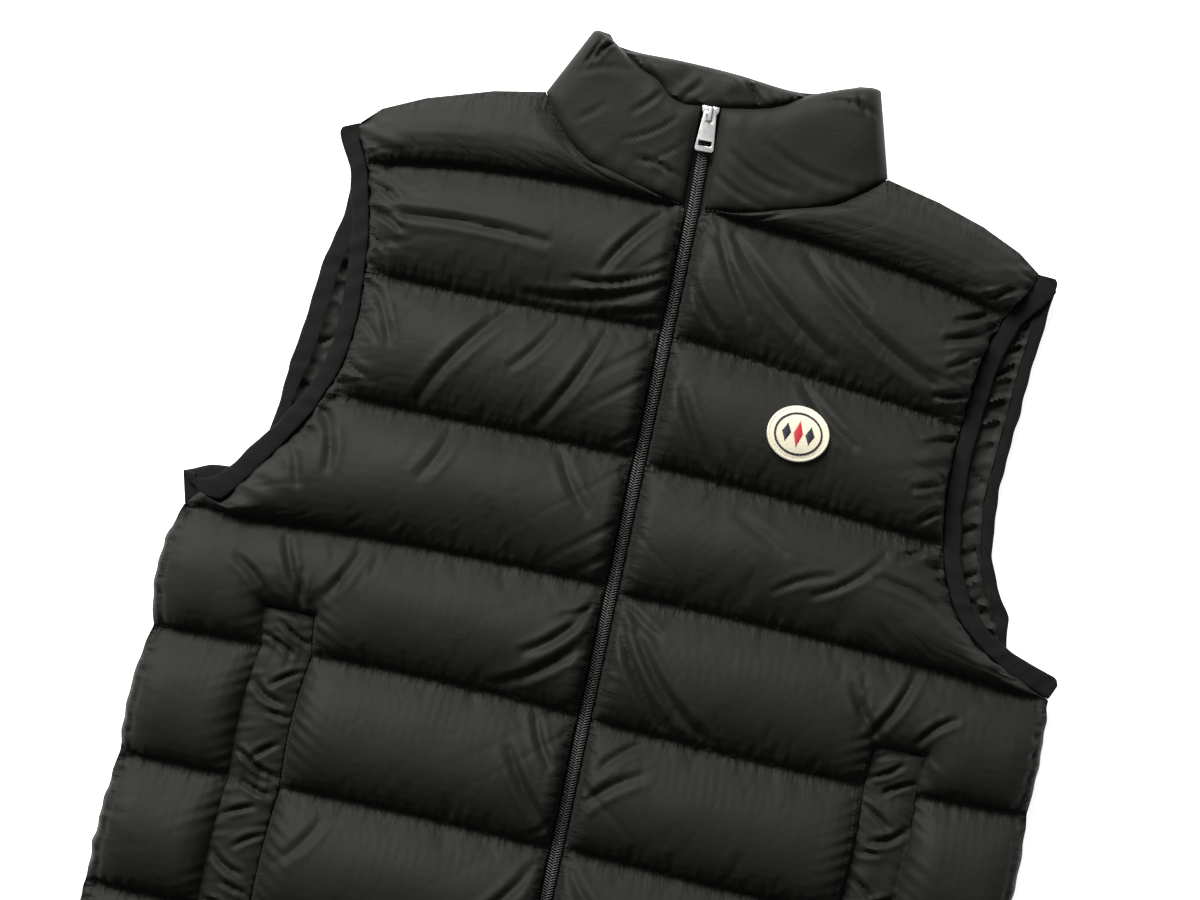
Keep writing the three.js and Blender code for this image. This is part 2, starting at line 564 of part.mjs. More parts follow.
function makeSlider() {
  const { up, down, topHalf, lowHalf, plates } = SLIDER;
  const outline = [
    [-lowHalf + 0.8, -down], [lowHalf - 0.8, -down], [lowHalf, -down + 0.8], [lowHalf, -1],
    [topHalf, 1.4], [topHalf, up - 1.6], [topHalf - 1.6, up], [1.4, up], [0.6, up - 0.9],
    [-0.6, up - 0.9], [-1.4, up], [-topHalf + 1.6, up], [-topHalf, up - 1.6], [-topHalf, 1.4],
    [-lowHalf, -1], [-lowHalf, -down + 0.8],
  ];
  const wedge = [[-0.7, -0.4], [0.7, -0.4], [1.9, up - 1.2], [-1.9, up - 1.2]];
  const { half, from, to, leg, inside, top } = BRIDGE;
  const foot = plates[1][1] - 0.4;
  const arch = [
    [from, foot], [from, top - 0.8], [from + 0.8, top], [to - 0.8, top], [to, top - 0.8], [to, foot],
    [to - leg, foot], [to - leg, inside], [from + leg, inside], [from + leg, foot],
  ];
  const bridge = plate(arch, -half, half).applyMatrix4(
    new THREE.Matrix4().makeBasis(
      new THREE.Vector3(0, 1, 0), new THREE.Vector3(0, 0, 1), new THREE.Vector3(1, 0, 0),
    ),
  );
  return joined([
    plate(outline, ...plates[0]), plate(outline, ...plates[1]),
    plate(wedge, plates[0][1] - 0.4, plates[1][0] + 0.4), bridge,
  ]);
}

function makePull() {
  const { low, high, bar, topHalf, lowHalf, length, windowHalf, windowEnd } = PULL;
  const outline = [
    [-topHalf + 1.2, bar], [topHalf - 1.2, bar], [topHalf, bar - 1.2], [lowHalf, -length + 1.2],
    [lowHalf - 1.2, -length], [-lowHalf + 1.2, -length], [-lowHalf, -length + 1.2], [-topHalf, bar - 1.2],
  ];
  const box = (half, from, to) => [[-half, from], [half, from], [half, to], [-half, to]];
  const holes = [box(windowHalf, -windowEnd, -bar), box(PULL.slotHalf, -PULL.slotTo, -PULL.slotFrom)];
  return plate(outline, low, high, holes);
}

// Badge
// The highest point of a geometry's outer face over a place
function surfaceHeight(geometry, x, y) {
  const position = geometry.attributes.position;
  const index = geometry.index;
  let highest = -Infinity;
  const corner = [0, 1, 2].map(() => new THREE.Vector3());
  const weights = new THREE.Vector3();
  for (let f = 0; f < index.count; f += 3) {
    corner.forEach((c, i) => c.fromBufferAttribute(position, index.getX(f + i)));
    const heights = corner.map((c) => c.z);
    corner.forEach((c) => c.setZ(0));
    const found = THREE.Triangle.getBarycoord(new THREE.Vector3(x, y, 0), ...corner, weights);
    if (!found || Math.min(weights.x, weights.y, weights.z) < 0) continue;
    highest = Math.max(highest, weights.x * heights[0] + weights.y * heights[1] + weights.z * heights[2]);
  }
  return highest;
}

function makeBadge(panel) {
  const segments = 24;
  const { x, y, halfWidth, halfHeight, lift: seat, thick } = BADGE;
  const sizes = [0.02, 0.35, 0.7, 1];
  const ring = (size, lift) =>
    Array.from({ length: segments }, (_, i) => {
      const angle = (2 * Math.PI * i) / segments;
      const px = x + halfWidth * size * Math.cos(angle);
      const py = y + halfHeight * size * Math.sin(angle);
      return [px, py, surfaceHeight(panel, px, py) + lift];
    });
  const under = sizes.map((size) => ring(size, seat));
  const over = sizes.map((size) => ring(size, seat + thick)).reverse();
  return loft([...under, ...over], fan(segments));
}

// The whole vest
const rightFront = makeFront(RIGHT_SEAMS, RIGHT_ARMHOLE, RIGHT_NECK, RIGHT_SHOULDER, RIGHT_FOLDS);
const leftFront = makeFront(LEFT_SEAMS, LEFT_ARMHOLE, LEFT_NECK, LEFT_SHOULDER, LEFT_FOLDS);

const back = makeBack();

const slider = new THREE.Group();
slider.position.set(zipX(SLIDER.y), SLIDER.y, 0);
slider.rotation.z = Math.atan(ZIP_LEAN / (ZIP_TOP - NECK_Y));
slider.add(mesh("zip_slider", makeSlider(), SILVER), mesh("zip_pull", makePull(), SILVER));

const vest = new THREE.Group();
vest.add(
  mesh("back_panel", back.geometry, CLOTH),
  mesh("front_right", rightFront.geometry, CLOTH),
  mesh("front_left", leftFront.geometry, CLOTH),
  mesh("collar", makeCollar(), CLOTH),
  mesh("pocket_welt_right", makeWelt(rightFront), CLOTH),
  mesh("pocket_welt_left", makeWelt(leftFront), CLOTH),
  mesh("zip_tape_right", makeZipTape(-1), ZIP_CLOTH),
  mesh("zip_tape_left", makeZipTape(1), ZIP_CLOTH),
  mesh("zip_chain", makeChain(), TEETH),
  mesh("zip_box", makeZipBox(), SILVER),
  mesh("badge", makeBadge(leftFront.geometry), FELT),
  slider,
);
for (const [name, edge, out, heights, end] of [
  ["binding_front_right", rightFront.armholeLine, -1, BINDING.front, { width: 21, lean: 5 }],
  ["binding_front_left", leftFront.armholeLine, 1, BINDING.front, { width: 13.5, lean: 1 }],
  ["binding_back_right", back.armholeLines[0], -1, BINDING.back, { width: 17, lean: -4 }],
  ["binding_back_left", back.armholeLines[1], 1, BINDING.back, { width: 13.5, lean: -3 }],
])
  vest.add(mesh(name, makeBinding(edge, out, heights, end), TAPE_CLOTH));

// The origin is under the middle of the vest, on the surface it lies on.
vest.updateMatrixWorld(true);
const bounds = new THREE.Box3().setFromObject(vest);
vest.position.set(-(bounds.min.x + bounds.max.x) / 2, -(bounds.min.y + bounds.max.y) / 2, -bounds.min.z);

export default vest;
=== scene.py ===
"""The looks of a down puffer vest laid flat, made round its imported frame."""

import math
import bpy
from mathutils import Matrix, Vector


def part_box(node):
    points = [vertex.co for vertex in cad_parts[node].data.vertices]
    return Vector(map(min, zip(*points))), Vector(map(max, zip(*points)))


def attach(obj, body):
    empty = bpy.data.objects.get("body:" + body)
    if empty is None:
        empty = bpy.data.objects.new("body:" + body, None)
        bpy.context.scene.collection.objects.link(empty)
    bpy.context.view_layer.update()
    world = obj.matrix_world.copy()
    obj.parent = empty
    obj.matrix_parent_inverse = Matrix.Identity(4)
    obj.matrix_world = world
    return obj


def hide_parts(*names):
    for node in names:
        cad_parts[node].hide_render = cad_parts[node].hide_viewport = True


bl_info = {
    "name": "Puffer vest",
    "version": (1, 0, 0),
    "blender": (4, 5, 0),
    "location": "3D View > Sidebar > Vest",
    "description": "Makes the cloth, down, tape, zip and badge of a puffer vest that lies flat",
    "category": "Add Mesh",
}

import bpy
import numpy as np
from bpy.props import FloatProperty, FloatVectorProperty, IntProperty, PointerProperty
from mathutils import Matrix, Vector

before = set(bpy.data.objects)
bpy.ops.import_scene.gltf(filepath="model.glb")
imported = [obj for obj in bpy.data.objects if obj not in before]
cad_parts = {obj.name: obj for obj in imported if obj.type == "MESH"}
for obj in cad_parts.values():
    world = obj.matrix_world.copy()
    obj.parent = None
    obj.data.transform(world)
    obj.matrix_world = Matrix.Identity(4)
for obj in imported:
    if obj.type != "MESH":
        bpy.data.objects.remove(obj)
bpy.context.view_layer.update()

MM = 0.001
BODY = "vest"
PULL_BODY = "pull"

# Heights in millimetres, as the solids have them
BACK_TOP = 13.7
FRONT_BASE = 14.0
SEAM_TOP = 17.0
BACK_EDGE = 4.0
BACK_RISE = 24.0
GAP = 0.3

# Zip, in the garment's own millimetres: X across, Y up from the hem
ZIP_X = 4.0
ZIP_HALF = 7.0
ZIP_LEAN = 2.2
NECK_Y = 619.0
ZIP_TOP = 680.0
CHAIN_FROM, CHAIN_TO = 9.3, 674.5

# Seams of each front, from the hem up: name, height at the zip and half way, outer end, and the loft
# and side bulge of the channel above
RIGHT_SEAMS = (
    ("hem", 0, 0, -267, 0, 3, 0.5),
    ("hem_stitch", 16, 16, -267, 16, 15, 3),
    ("seam_8", 58, 58, -269, 58, 20, 4),
    ("seam_7", 138, 138, -274, 139, 20, 2),
    ("seam_6", 217, 219.5, -270, 220, 20, 4),
    ("seam_5", 300, 303, -266, 300, 20, 7),
    ("seam_4", 381, 380, -263, 376, 20, 0),
    ("seam_3", 462, 461, -190, 461, 20, 0),
    ("seam_2", 542, 538, -182, 539, 19, 0),
    ("seam_1", 619, 617, -195, 605, 16, 0),
)
LEFT_SEAMS = (
    ("hem", 0, 0, 275, 0, 3, 0.5),
    ("hem_stitch", 16, 16, 275, 16, 15, 3),
    ("seam_8", 58, 57, 277, 57, 20, 4),
    ("seam_7", 138, 136, 280, 135, 20, 3),
    ("seam_6", 219, 213.5, 280, 214, 20, 3),
    ("seam_5", 299, 294.5, 281, 298, 20, 2),
    ("seam_4", 378, 375.5, 279, 369, 20, 0),
    ("seam_3", 459, 454.5, 194, 448, 20, 0),
    ("seam_2", 539, 531, 190, 523, 19, 0),
    ("seam_1", 619, 610, 203, 595, 16, 0),
)
TOP_CHANNEL = len(RIGHT_SEAMS) - 1
ARMHOLE_FROM = 6

RIGHT_ARMHOLE = (
    (-248, 377), (-238, 381), (-228, 397), (-213, 418), (-200, 435), (-195, 447), (-187, 467),
    (-183, 480), (-181, 497), (-180, 515), (-184, 560), (-187, 575), (-190, 590), (-200, 614),
)
LEFT_ARMHOLE = (
    (270, 372), (255, 377), (240, 383), (228, 390), (218, 399), (210, 408), (204, 418), (199, 430),
    (192, 460), (189, 480), (189, 500), (191, 540), (193, 560), (197, 580), (212, 609),
)
BACK_RIGHT_ARMHOLE = (
    (-250, 386), (-232, 396), (-219, 412), (-213, 432), (-208, 460), (-203, 482), (-201, 505),
    (-199, 530), (-193, 560), (-190, 582), (-192, 600), (-198, 615),
)
BACK_LEFT_ARMHOLE = (
    (266, 378), (253, 385), (243, 393), (236, 403), (228, 416), (219, 432), (214, 452), (210, 480),
    (212, 520), (214, 560), (216, 583), (218, 605),
)
BACK_RIGHT_ENDS = {"seam_3": (-208, 461), "seam_2": (-198, 539), "seam_1": (-193, 604)}
BACK_LEFT_ENDS = {"seam_3": (214, 453), "seam_2": (213, 535), "seam_1": (217, 595)}
RIGHT_SHOULDER = ((-99, 669), (-130, 663), (-170, 650), (-195, 638), (-206, 627))
LEFT_SHOULDER = ((117, 660), (150, 653), (180, 644), (205, 633), (219, 623))
RIGHT_NECK = (
    (-3, 618.5), (-14, 620.3), (-30, 623), (-48, 627), (-65, 633), (-80, 643.5), (-91, 656), (-99, 669),
)
LEFT_NECK = (
    (11, 618.5), (26, 620), (42, 622.5), (58, 627), (76, 632.5), (92, 640), (106, 650.5), (117, 660),
)
BACK_NECK = (
    (-99, 668.7), (-86, 664.5), (-62, 657.2), (-30, 653.7), (9, 652.5), (48, 652.9), (80, 655.7),
    (104, 658.6), (117, 659.7),
)

# Pocket welts: shares across a front, and the rows where they start and end
WELT_INNER, WELT_MIDDLE, WELT_OUTER = 0.625, 0.68, 0.74
WELT_LOW = 2.62
WELT_HIGH = 5.32

# How far the down settles in a channel, and how far the fronts puff over the armhole's and zip's tapes
SAG = 0.78
OVERHANG = 2.2
ZIP_OVERHANG = 2.5

# How far from its edges a front's loft is full
ZIP_ROUND, ARMHOLE_ROUND, SIDE_ROUND, POCKET_ROUND = 9, 20, 24, 20

# Mean sizes, in millimetres, that turn a share into a length
FRONT_WIDTH = 270.0
CHANNEL_HEIGHT = 80.0
WELT_WIDTH = 31.0

# Folds: X and Y of the start and of the end, depth, half width, and how far the line bows out. All the
# widths and depths are scaled.
FOLD_WIDTH = 0.48
FOLD_DEPTH = 0.85
RIGHT_FOLDS = (
    (-182, 575, -80, 578, 3.0, 7, 3),
    (-14, 609, -42, 570, 3.2, 6, -2),
    (-2, 578, -58, 560, 3.0, 5, 5),
    (-6, 566, -84, 545, 4.0, 7, 5),
    (-3, 553, -32, 545, 2.5, 5, 2),
    (-90, 537, -136, 470, 3.2, 8, -3),
    (-62, 533, -84, 500, 2.0, 6, 2),
    (-33, 531, -64, 467, 3.0, 7, 3),
    (-178, 532, -160, 500, 2.0, 6, 2),
    (-192, 452, -180, 418, 3.4, 7, 3),
    (-208, 430, -196, 404, 2.6, 7, 2),
    (-42, 452, -22, 424, 2.6, 7, -2),
    (-1, 372, -22, 358, 3.0, 5, 2),
    (-8, 364, -40, 333, 3.6, 6, 3),
    (-3, 350, -54, 309, 3.6, 7, 4),
    (-26, 297, -11, 268, 3.0, 6, -2),
    (-37, 272, -3, 228, 3.4, 7, -2),
    (-174, 330, -196, 368, 3.4, 6, 2),
    (-180, 328, -182, 352, 2.6, 5, 0),
    (-200, 332, -222, 352, 3.0, 6, -2),
    (-150, 372, -168, 338, 2.4, 7, 2),
    (-112, 455, -124, 425, 2.0, 8, 2),
    (-8, 205, -45, 160, 3.4, 7, 3),
    (-140, 205, -160, 178, 2.0, 7, 2),
    (-197, 592, -174, 585, 4.2, 5, 2),
    (-195, 578, -168, 568, 4.2, 5, 2),
    (-191, 564, -174, 553, 3.6, 5, 1),
    (-186, 546, -164, 538, 3.2, 5, -2),
    (-184, 512, -168, 500, 2.6, 5, 1),
    (-188, 486, -170, 476, 2.8, 5, -1),
)
LEFT_FOLDS = (
    (203, 608, 170, 597, 5.0, 5, 3),
    (205, 600, 176, 584, 5.0, 5, 2),
    (203, 588, 172, 571, 4.6, 6, 2),
    (200, 573, 182, 560, 4.2, 5, 1),
    (197, 560, 176, 555, 3.6, 5, -2),
    (195, 545, 172, 536, 3.8, 5, 2),
    (194, 534, 176, 520, 3.4, 5, 1),
    (192, 512, 172, 506, 2.6, 5, -1),
    (192, 488, 170, 478, 3.0, 5, 1),
    (193, 470, 178, 459, 3.6, 5, -1),
    (195, 452, 172, 436, 3.6, 5, 2),
    (10, 577, 34, 548, 3.4, 6, -2),
    (22, 610, 50, 560, 2.2, 6, -3),
    (32, 606, 104, 546, 3.4, 9, -5),
    (80, 602, 168, 543, 3.4, 9, -6),
    (90, 529, 128, 496, 2.6, 7, -3),
    (20, 507, 48, 463, 2.8, 7, -2),
    (55, 480, 66, 462, 1.8, 6, 0),
    (124, 402, 162, 434, 2.4, 5, -3),
    (100, 400, 132, 416, 1.8, 5, 2),
    (160, 421, 207, 404, 2.8, 6, 4),
    (70, 440, 100, 424, 1.6, 8, 0),
    (9, 379, 36, 358, 3.0, 6, -2),
    (10, 367, 56, 299, 4.2, 7, -4),
    (24, 357, 80, 301, 3.6, 7, -5),
    (9, 243, 44, 273, 3.2, 7, 3),
    (19, 272, 44, 292, 2.6, 6, 2),
    (176, 327, 197, 370, 3.6, 6, -2),
    (182, 326, 160, 352, 3.0, 6, 2),
    (205, 328, 224, 346, 3.0, 5, 2),
    (205, 322, 216, 308, 2.4, 5, 1),
    (12, 210, 50, 175, 3.0, 7, -3),
    (140, 210, 165, 180, 2.0, 8, 2),
    (95, 600, 120, 580, 1.6, 6, 0),
)
# Across a welt, X counts from its edge on the zip's side, and Y is its row times a channel's height
WELT_FOLDS = (
    (3, 418, 20, 424, 2.6, 4, 2),
    (0, 405, 18, 416, 2.8, 4, -1),
    (12, 398, 29, 407, 2.8, 4, 1),
    (0, 389, 17, 378, 2.6, 4, 1),
    (9, 368, 29, 379, 2.8, 5, -2),
    (0, 360, 14, 362, 2.2, 4, 0),
    (2, 345, 18, 334, 2.6, 4, 1),
    (12, 326, 30, 337, 3.0, 4, 1),
    (0, 324, 15, 329, 2.8, 4, 0),
    (0, 313, 21, 318, 2.8, 4, -1),
    (11, 305, 29, 296, 2.6, 4, 1),
    (0, 290, 16, 280, 2.6, 4, 1),
    (9, 264, 28, 274, 2.8, 5, -2),
    (0, 252, 18, 257, 2.4, 4, 0),
    (6, 239, 29, 245, 2.8, 4, 1),
    (0, 232, 16, 224, 2.6, 4, 1),
)
COLLAR_FOLDS = (
    (-18, 668, -46, 650, 1.4, 3, 2),
    (-10, 655, -28, 641, 1.0, 3, 1),
    (-50, 692, -82, 684, 0.7, 4, -2),
    (-30, 682, -44, 668, 1.2, 4, 1),
    (-8, 634, -36, 640, 2.0, 4, -2),
    (-62, 668, -78, 656, 0.7, 4, 1),
    (-72, 700, -60, 708, 2.4, 3, 1),
    (-74, 694, -66, 706, 2.0, 3, 0),
    (-79, 690, -72, 706, 1.6, 3, 0),
    (20, 655, 64, 640, 1.1, 5, -4),
    (40, 665, 104, 650, 0.9, 6, -5),
    (14, 640, 44, 628, 1.2, 4, -2),
    (72, 699, 100, 697, 1.4, 4, 2),
    (88, 706, 96, 694, 1.8, 3, -1),
)
BACK_COLLAR_FOLDS = (
    (15, 702, 31, 688, 3.6, 4, 2),
    (36, 696, 43, 686, 3.2, 3, 1),
    (50, 701, 50, 690, 3.2, 3, 0),
    (-16, 684, -8, 692, 3.0, 4, 0),
    (-44, 700, -24, 686, 2.6, 4, -2),
    (-60, 706, -48, 698, 2.2, 4, 0),
)


def mix(a, b, t):
    return a + (b - a) * t


def rise(t):
    """A quarter round from 0 at t = 0 to 1 at t = 1."""
    return np.sqrt(1 - (1 - np.clip(t, 0, 1)) ** 2)


def ease(t):
    """A soft step from 0 at t = 0 to 1 at t = 1."""
    t = np.clip(t, 0, 1)
    return t * t * (3 - 2 * t)


def puff(v):
    """The height of a filled channel over its width."""
    return (1 - np.abs(2 * v - 1) ** 2.4) ** 0.75


def sagging(v):
    """The height of a channel whose down has settled towards its lower seam."""
    v = np.asarray(v)
    return (1 - np.abs(2 * v**SAG - 1) ** 2.2) ** mix(0.9, 1.1, v)


def along(points, t):
    """The points at shares t of the length of an open line."""
    line = np.asarray(points, float)
    lengths = np.linalg.norm(np.diff(line, axis=0), axis=1)
    reached = np.concatenate([[0], np.cumsum(lengths)]) / lengths.sum()
    return np.stack([np.interp(t, reached, line[:, i]) for i in range(line.shape[1])], -1)


def smooth_line(points, step, reach=2):
    """A curve through the points, with a point about every step of their first reach columns."""
    line = np.asarray(points, float)
    wide = np.vstack([2 * line[0] - line[1], line, 2 * line[-1] - line[-2]])
    out = []
    for a, b, c, d in zip(wide, wide[1:], wide[2:], wide[3:]):
        gaps = np.abs(c - b)[:reach].reshape(-1, 2)
        count = max(1, round(float(np.hypot(*gaps.T).max()) / step))
        for t in np.arange(count) / count:
            bend = (2 * a - 5 * b + 4 * c - d) * t**2 + (3 * b - a - 3 * c + d) * t**3
            out.append(0.5 * (2 * b + (c - a) * t + bend))
    return np.array(out + [line[-1]])


def run_length(points):
    """How far along an open line each of its points lies."""
    return np.concatenate([[0], np.cumsum(np.linalg.norm(np.diff(points, axis=0), axis=1))])


def sideways(points, side):
    """The direction square to an open line at each point, to its right where side is 1."""
    run = np.gradient(points, axis=0)
    run = run / np.linalg.norm(run, axis=1)[:, None]
    return np.stack([side * run[:, 1], -side * run[:, 0]], -1)


def lifted(flat, z):
    """Flat points with their heights."""
    return np.concatenate([flat, z[..., None]], -1)


def beside(distance, reach, start):
    """The strength of what lies along a seam: 0 on the seam, full soon after, and fading with reach."""
    return np.exp(-distance / reach) * ease(distance / start)


def outside_of(low, high, value):
    """How far a value lies outside a range."""
    return np.maximum(np.maximum(low - value, value - high), 0)


def height_at(points, x):
    line = np.asarray(sorted(map(tuple, points)), float)
    return np.interp(x, line[:, 0], line[:, 1])


def zip_x(y):
    return ZIP_X - ZIP_LEAN * np.clip((np.asarray(y, float) - NECK_Y) / (ZIP_TOP - NECK_Y), 0, 1)


def ripple(s, wave, seed, count=6):
    """An uneven wave along s, between about -1 and 1, with the given mean length."""
    random = np.random.default_rng(seed)
    s = np.asarray(s, float)
    total = np.zeros_like(s)
    for _ in range(count):
        length = wave * random.uniform(0.6, 1.7)
        total += np.sin(2 * np.pi * s / length + random.uniform(0, 2 * np.pi))
    return total / math.sqrt(count)


def crumple(x, y, wave, seed, count=14):
    """An uneven field over x and y, between about -1 and 1, with the given mean length."""
    random = np.random.default_rng(seed)
    total = np.zeros_like(np.asarray(x, float))
    for _ in range(count):
        length = wave * random.uniform(0.55, 1.8)
        turn = random.uniform(0, np.pi)
        run = np.cos(turn) * x + np.sin(turn) * y
        total = total + np.sin(2 * np.pi * run / length + random.uniform(0, 2 * np.pi))
    return total / math.sqrt(count)


def creases(s, wave, seed):
    """Few narrow valleys across a run s, from 0 between them to 1 in them."""
    return ease((ripple(s, wave, seed) - 0.75) / 0.7)


def fold_height(x, y, folds):
    """How far the listed folds press in and raise the cloth at each point."""
    total = np.zeros_like(x)
    for x0, y0, x1, y1, depth, width, bow in folds:
        run = np.array([x1 - x0, y1 - y0], float)
        length = float(np.hypot(*run))
        side = np.array([-run[1], run[0]]) / length
        t = ((x - x0) * run[0] + (y - y0) * run[1]) / length**2
        inside = np.clip(t, 0, 1)
        off = (x - x0) * side[0] + (y - y0) * side[1] - bow * 4 * inside * (1 - inside)
        past = (t - inside) * length
        width = FOLD_WIDTH * width
        taper = np.exp(-((past / width) ** 2))
        taper *= 0.35 + 0.65 * np.sin(np.pi * np.clip(t, 0.04, 0.96)) ** 0.6
        trough = np.exp(-((off / width) ** 2)) + 0.9 * np.exp(-np.abs(off) / (0.4 * width))
        ridge = 0.45 * np.exp(-(((np.abs(off) - 1.75 * width) / (0.8 * width)) ** 2))
        total += FOLD_DEPTH * depth * taper * (ridge - 0.75 * trough)
    return total


def refine(grid):
    """Halves the spacing of a grid of points, keeping its own points."""
    for axis in (0, 1):
        lines = np.moveaxis(grid, axis, 0)
        wide = np.concatenate([2 * lines[:1] - lines[1:2], lines, 2 * lines[-1:] - lines[-2:-1]])
        between = (9 * (wide[1:-2] + wide[2:-1]) - wide[:-3] - wide[3:]) / 16
        fine = np.empty((2 * len(lines) - 1,) + lines.shape[1:])
        fine[::2] = lines
        fine[1::2] = between
        grid = np.moveaxis(fine, 0, axis)
    return grid


def garment_shift():
    """The millimetres from the garment's own X and Y to the frame's."""
    low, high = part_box("zip_box")
    return np.array([(low.x + high.x) / 2 / MM - ZIP_X, low.y / MM, 0.0])


SHIFT = garment_shift()


def in_frame(points):
    return (np.asarray(points, float) + SHIFT) * MM


# Blender helpers
def deselect():
    if bpy.context.object and bpy.context.object.mode != "OBJECT":
        bpy.ops.object.mode_set(mode="OBJECT")
    bpy.ops.object.select_all(action="DESELECT")


def only(piece):
    """Selects one object and nothing else."""
    deselect()
    piece.select_set(True)
    bpy.context.view_layer.objects.active = piece
    return piece


def apply_all(piece):
    only(piece)
    for modifier in list(piece.modifiers):
        bpy.ops.object.modifier_apply(modifier=modifier.name)
    return piece


def add_object(name, data):
    piece = bpy.data.objects.new(name, data)
    bpy.context.scene.collection.objects.link(piece)
    return piece


def new_object(name, vertices, faces):
    """A mesh object from points in garment millimetres."""
    mesh = bpy.data.meshes.new(name)
    mesh.from_pydata(in_frame(vertices).tolist(), [], [list(map(int, face)) for face in faces])
    return add_object(name, mesh)


def face_out(piece):
    only(piece)
    bpy.ops.object.mode_set(mode="EDIT")
    bpy.ops.mesh.select_all(action="SELECT")
    bpy.ops.mesh.normals_make_consistent(inside=False)
    bpy.ops.object.mode_set(mode="OBJECT")
    return piece


def smooth(piece, degrees):
    only(piece)
    bpy.ops.object.shade_smooth_by_angle(angle=math.radians(degrees))
    return piece


def add_values(piece, name, values):
    """Keeps a number for each of the first points, and 0 for the rest, for the material to read."""
    numbers = np.zeros(len(piece.data.vertices), np.float32)
    numbers[: values.size] = values.ravel()
    attribute = piece.data.attributes.new(name, "FLOAT", "POINT")
    attribute.data.foreach_set("value", numbers)


def finish_piece(piece, material, slot, *nodes, body=BODY):
    piece.data.materials.clear()
    piece.data.materials.append(material)
    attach(piece, body)
    if nodes:
        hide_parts(*nodes)
    return piece


def grid_faces(rows, columns, flip=False):
    index = np.arange(rows * columns).reshape(rows, columns)
    corners = [index[:-1, :-1], index[:-1, 1:], index[1:, 1:], index[1:, :-1]]
    return np.stack(corners[::-1] if flip else corners, -1).reshape(-1, 4)


def ring_wall(rings):
    """The numbers of the points of closed rings of one length, and the quads between them."""
    count, size = rings.shape[:2]
    index = np.arange(count * size).reshape(count, size)
    ahead = np.roll(index, -1, axis=1)
    return index, np.stack([index[:-1], ahead[:-1], ahead[1:], index[1:]], -1).reshape(-1, 4).tolist()


def ring_solid(name, rings):
    """A closed solid through rings of one length, whose two ends are closed by quads across them."""
    rings = np.asarray(rings, float)
    size = rings.shape[1]
    index, faces = ring_wall(rings)
    for ring in (index[0], index[-1]):
        for i in range(size // 2 - 1):
            faces.append([ring[i], ring[i + 1], ring[size - 2 - i], ring[size - 1 - i]])
    return face_out(new_object(name, rings.reshape(-1, 3), faces))


def border(index):
    """The point numbers round the edge of a grid."""
    return [*index[0, :-1], *index[:-1, -1], *index[-1, :0:-1], *index[:0:-1, 0]]


def closed_panel(name, top, under_z, cell=8):
    """A solid with a fine upper face over a plain lower one that shares its outline."""
    rows, columns = top.shape[:2]
    index = np.arange(rows * columns).reshape(rows, columns)
    vertices = [tuple(p) for p in top.reshape(-1, 3)]
    faces = grid_faces(rows, columns).tolist()
    outline = border(index)
    lower = {}

    def low(i):
        if i not in lower:
            lower[i] = len(vertices)
            vertices.append((*vertices[i][:2], under_z))
        return lower[i]

    row_stops = sorted({*range(0, rows - 1, cell), rows - 1})
    column_stops = sorted({*range(0, columns - 1, cell), columns - 1})
    kept = {*outline, *index[np.ix_(row_stops, column_stops)].ravel()}
    for r0, r1 in zip(row_stops, row_stops[1:]):
        for c0, c1 in zip(column_stops, column_stops[1:]):
            loop = [i for i in border(index[r0 : r1 + 1, c0 : c1 + 1]) if i in kept]
            faces.append([low(i) for i in reversed(loop)])
    for a, b in zip(outline, outline[1:] + outline[:1]):
        faces.append([a, low(a), low(b), b])
    return face_out(new_object(name, vertices, faces))


def two_sided(name, top, under):
    """A closed solid between two grids of points with the same outline."""
    rows, columns = top.shape[:2]
    count = rows * columns
    index = np.arange(count).reshape(rows, columns)
    faces = [*grid_faces(rows, columns).tolist(), *(grid_faces(rows, columns, True) + count).tolist()]
    outline = border(index)
    for a, b in zip(outline, outline[1:] + outline[:1]):
        faces.append([a, a + count, b + count, b])
    return face_out(new_object(name, np.vstack([top.reshape(-1, 3), under.reshape(-1, 3)]), faces))


def mesh_points(piece):
    points = np.zeros(len(piece.data.vertices) * 3)
    piece.data.vertices.foreach_get("co", points)
    return points.reshape(-1, 3)


def scatter(name, template, places):
    """One mesh of many copies of a template; places are 4 by 4 matrices in garment millimetres."""
    points = mesh_points(template) / MM
    faces = [list(polygon.vertices) for polygon in template.data.polygons]
    places = np.asarray(places)
    copies = np.einsum("nij,vj->nvi", places[:, :3, :3], points) + places[:, None, :3, 3]
    all_faces = [[i + n * len(points) for i in face] for n in range(len(places)) for face in faces]
    piece = new_object(name, copies.reshape(-1, 3), all_faces)
    bpy.data.objects.remove(template)
    return piece


def placed(origin, along_x):
    """A matrix whose X points along a direction and whose Z points as far up as it can."""
    x = np.asarray(along_x, float)
    x = x / np.linalg.norm(x)
    z = np.array([0, 0, 1]) - x * x[2]
    z = z / np.linalg.norm(z)
    matrix = np.eye(4)
    matrix[:3, 0], matrix[:3, 1], matrix[:3, 2], matrix[:3, 3] = x, np.cross(z, x), z, origin
    return matrix


def stretched(width, origin):
    """A matrix that scales X and moves to a place."""
    matrix = np.eye(4)
    matrix[0, 0] = width
    matrix[:3, 3] = origin
    return matrix


# Patterns
class Pattern:
    """A flat pattern, with its seams and edges, of channels from the hem up."""

    def flat(self, k, u, v):
        """Where shares u across and v up channel k lie; u and v are arrays of one shape."""
        low, high = self.seam_point(k, u), self.seam_point(k + 1, u)
        v1 = np.asarray(v, float)[..., None]
        u1 = np.asarray(u, float)[..., None]
        straight = [mix(self.seam_point(k, end), self.seam_point(k + 1, end), v1) for end in (0, 1)]
        inner, outer = self.edges(k, v)
        return mix(low, high, v1) + (1 - u1) * (inner - straight[0]) + u1 * (outer - straight[1])


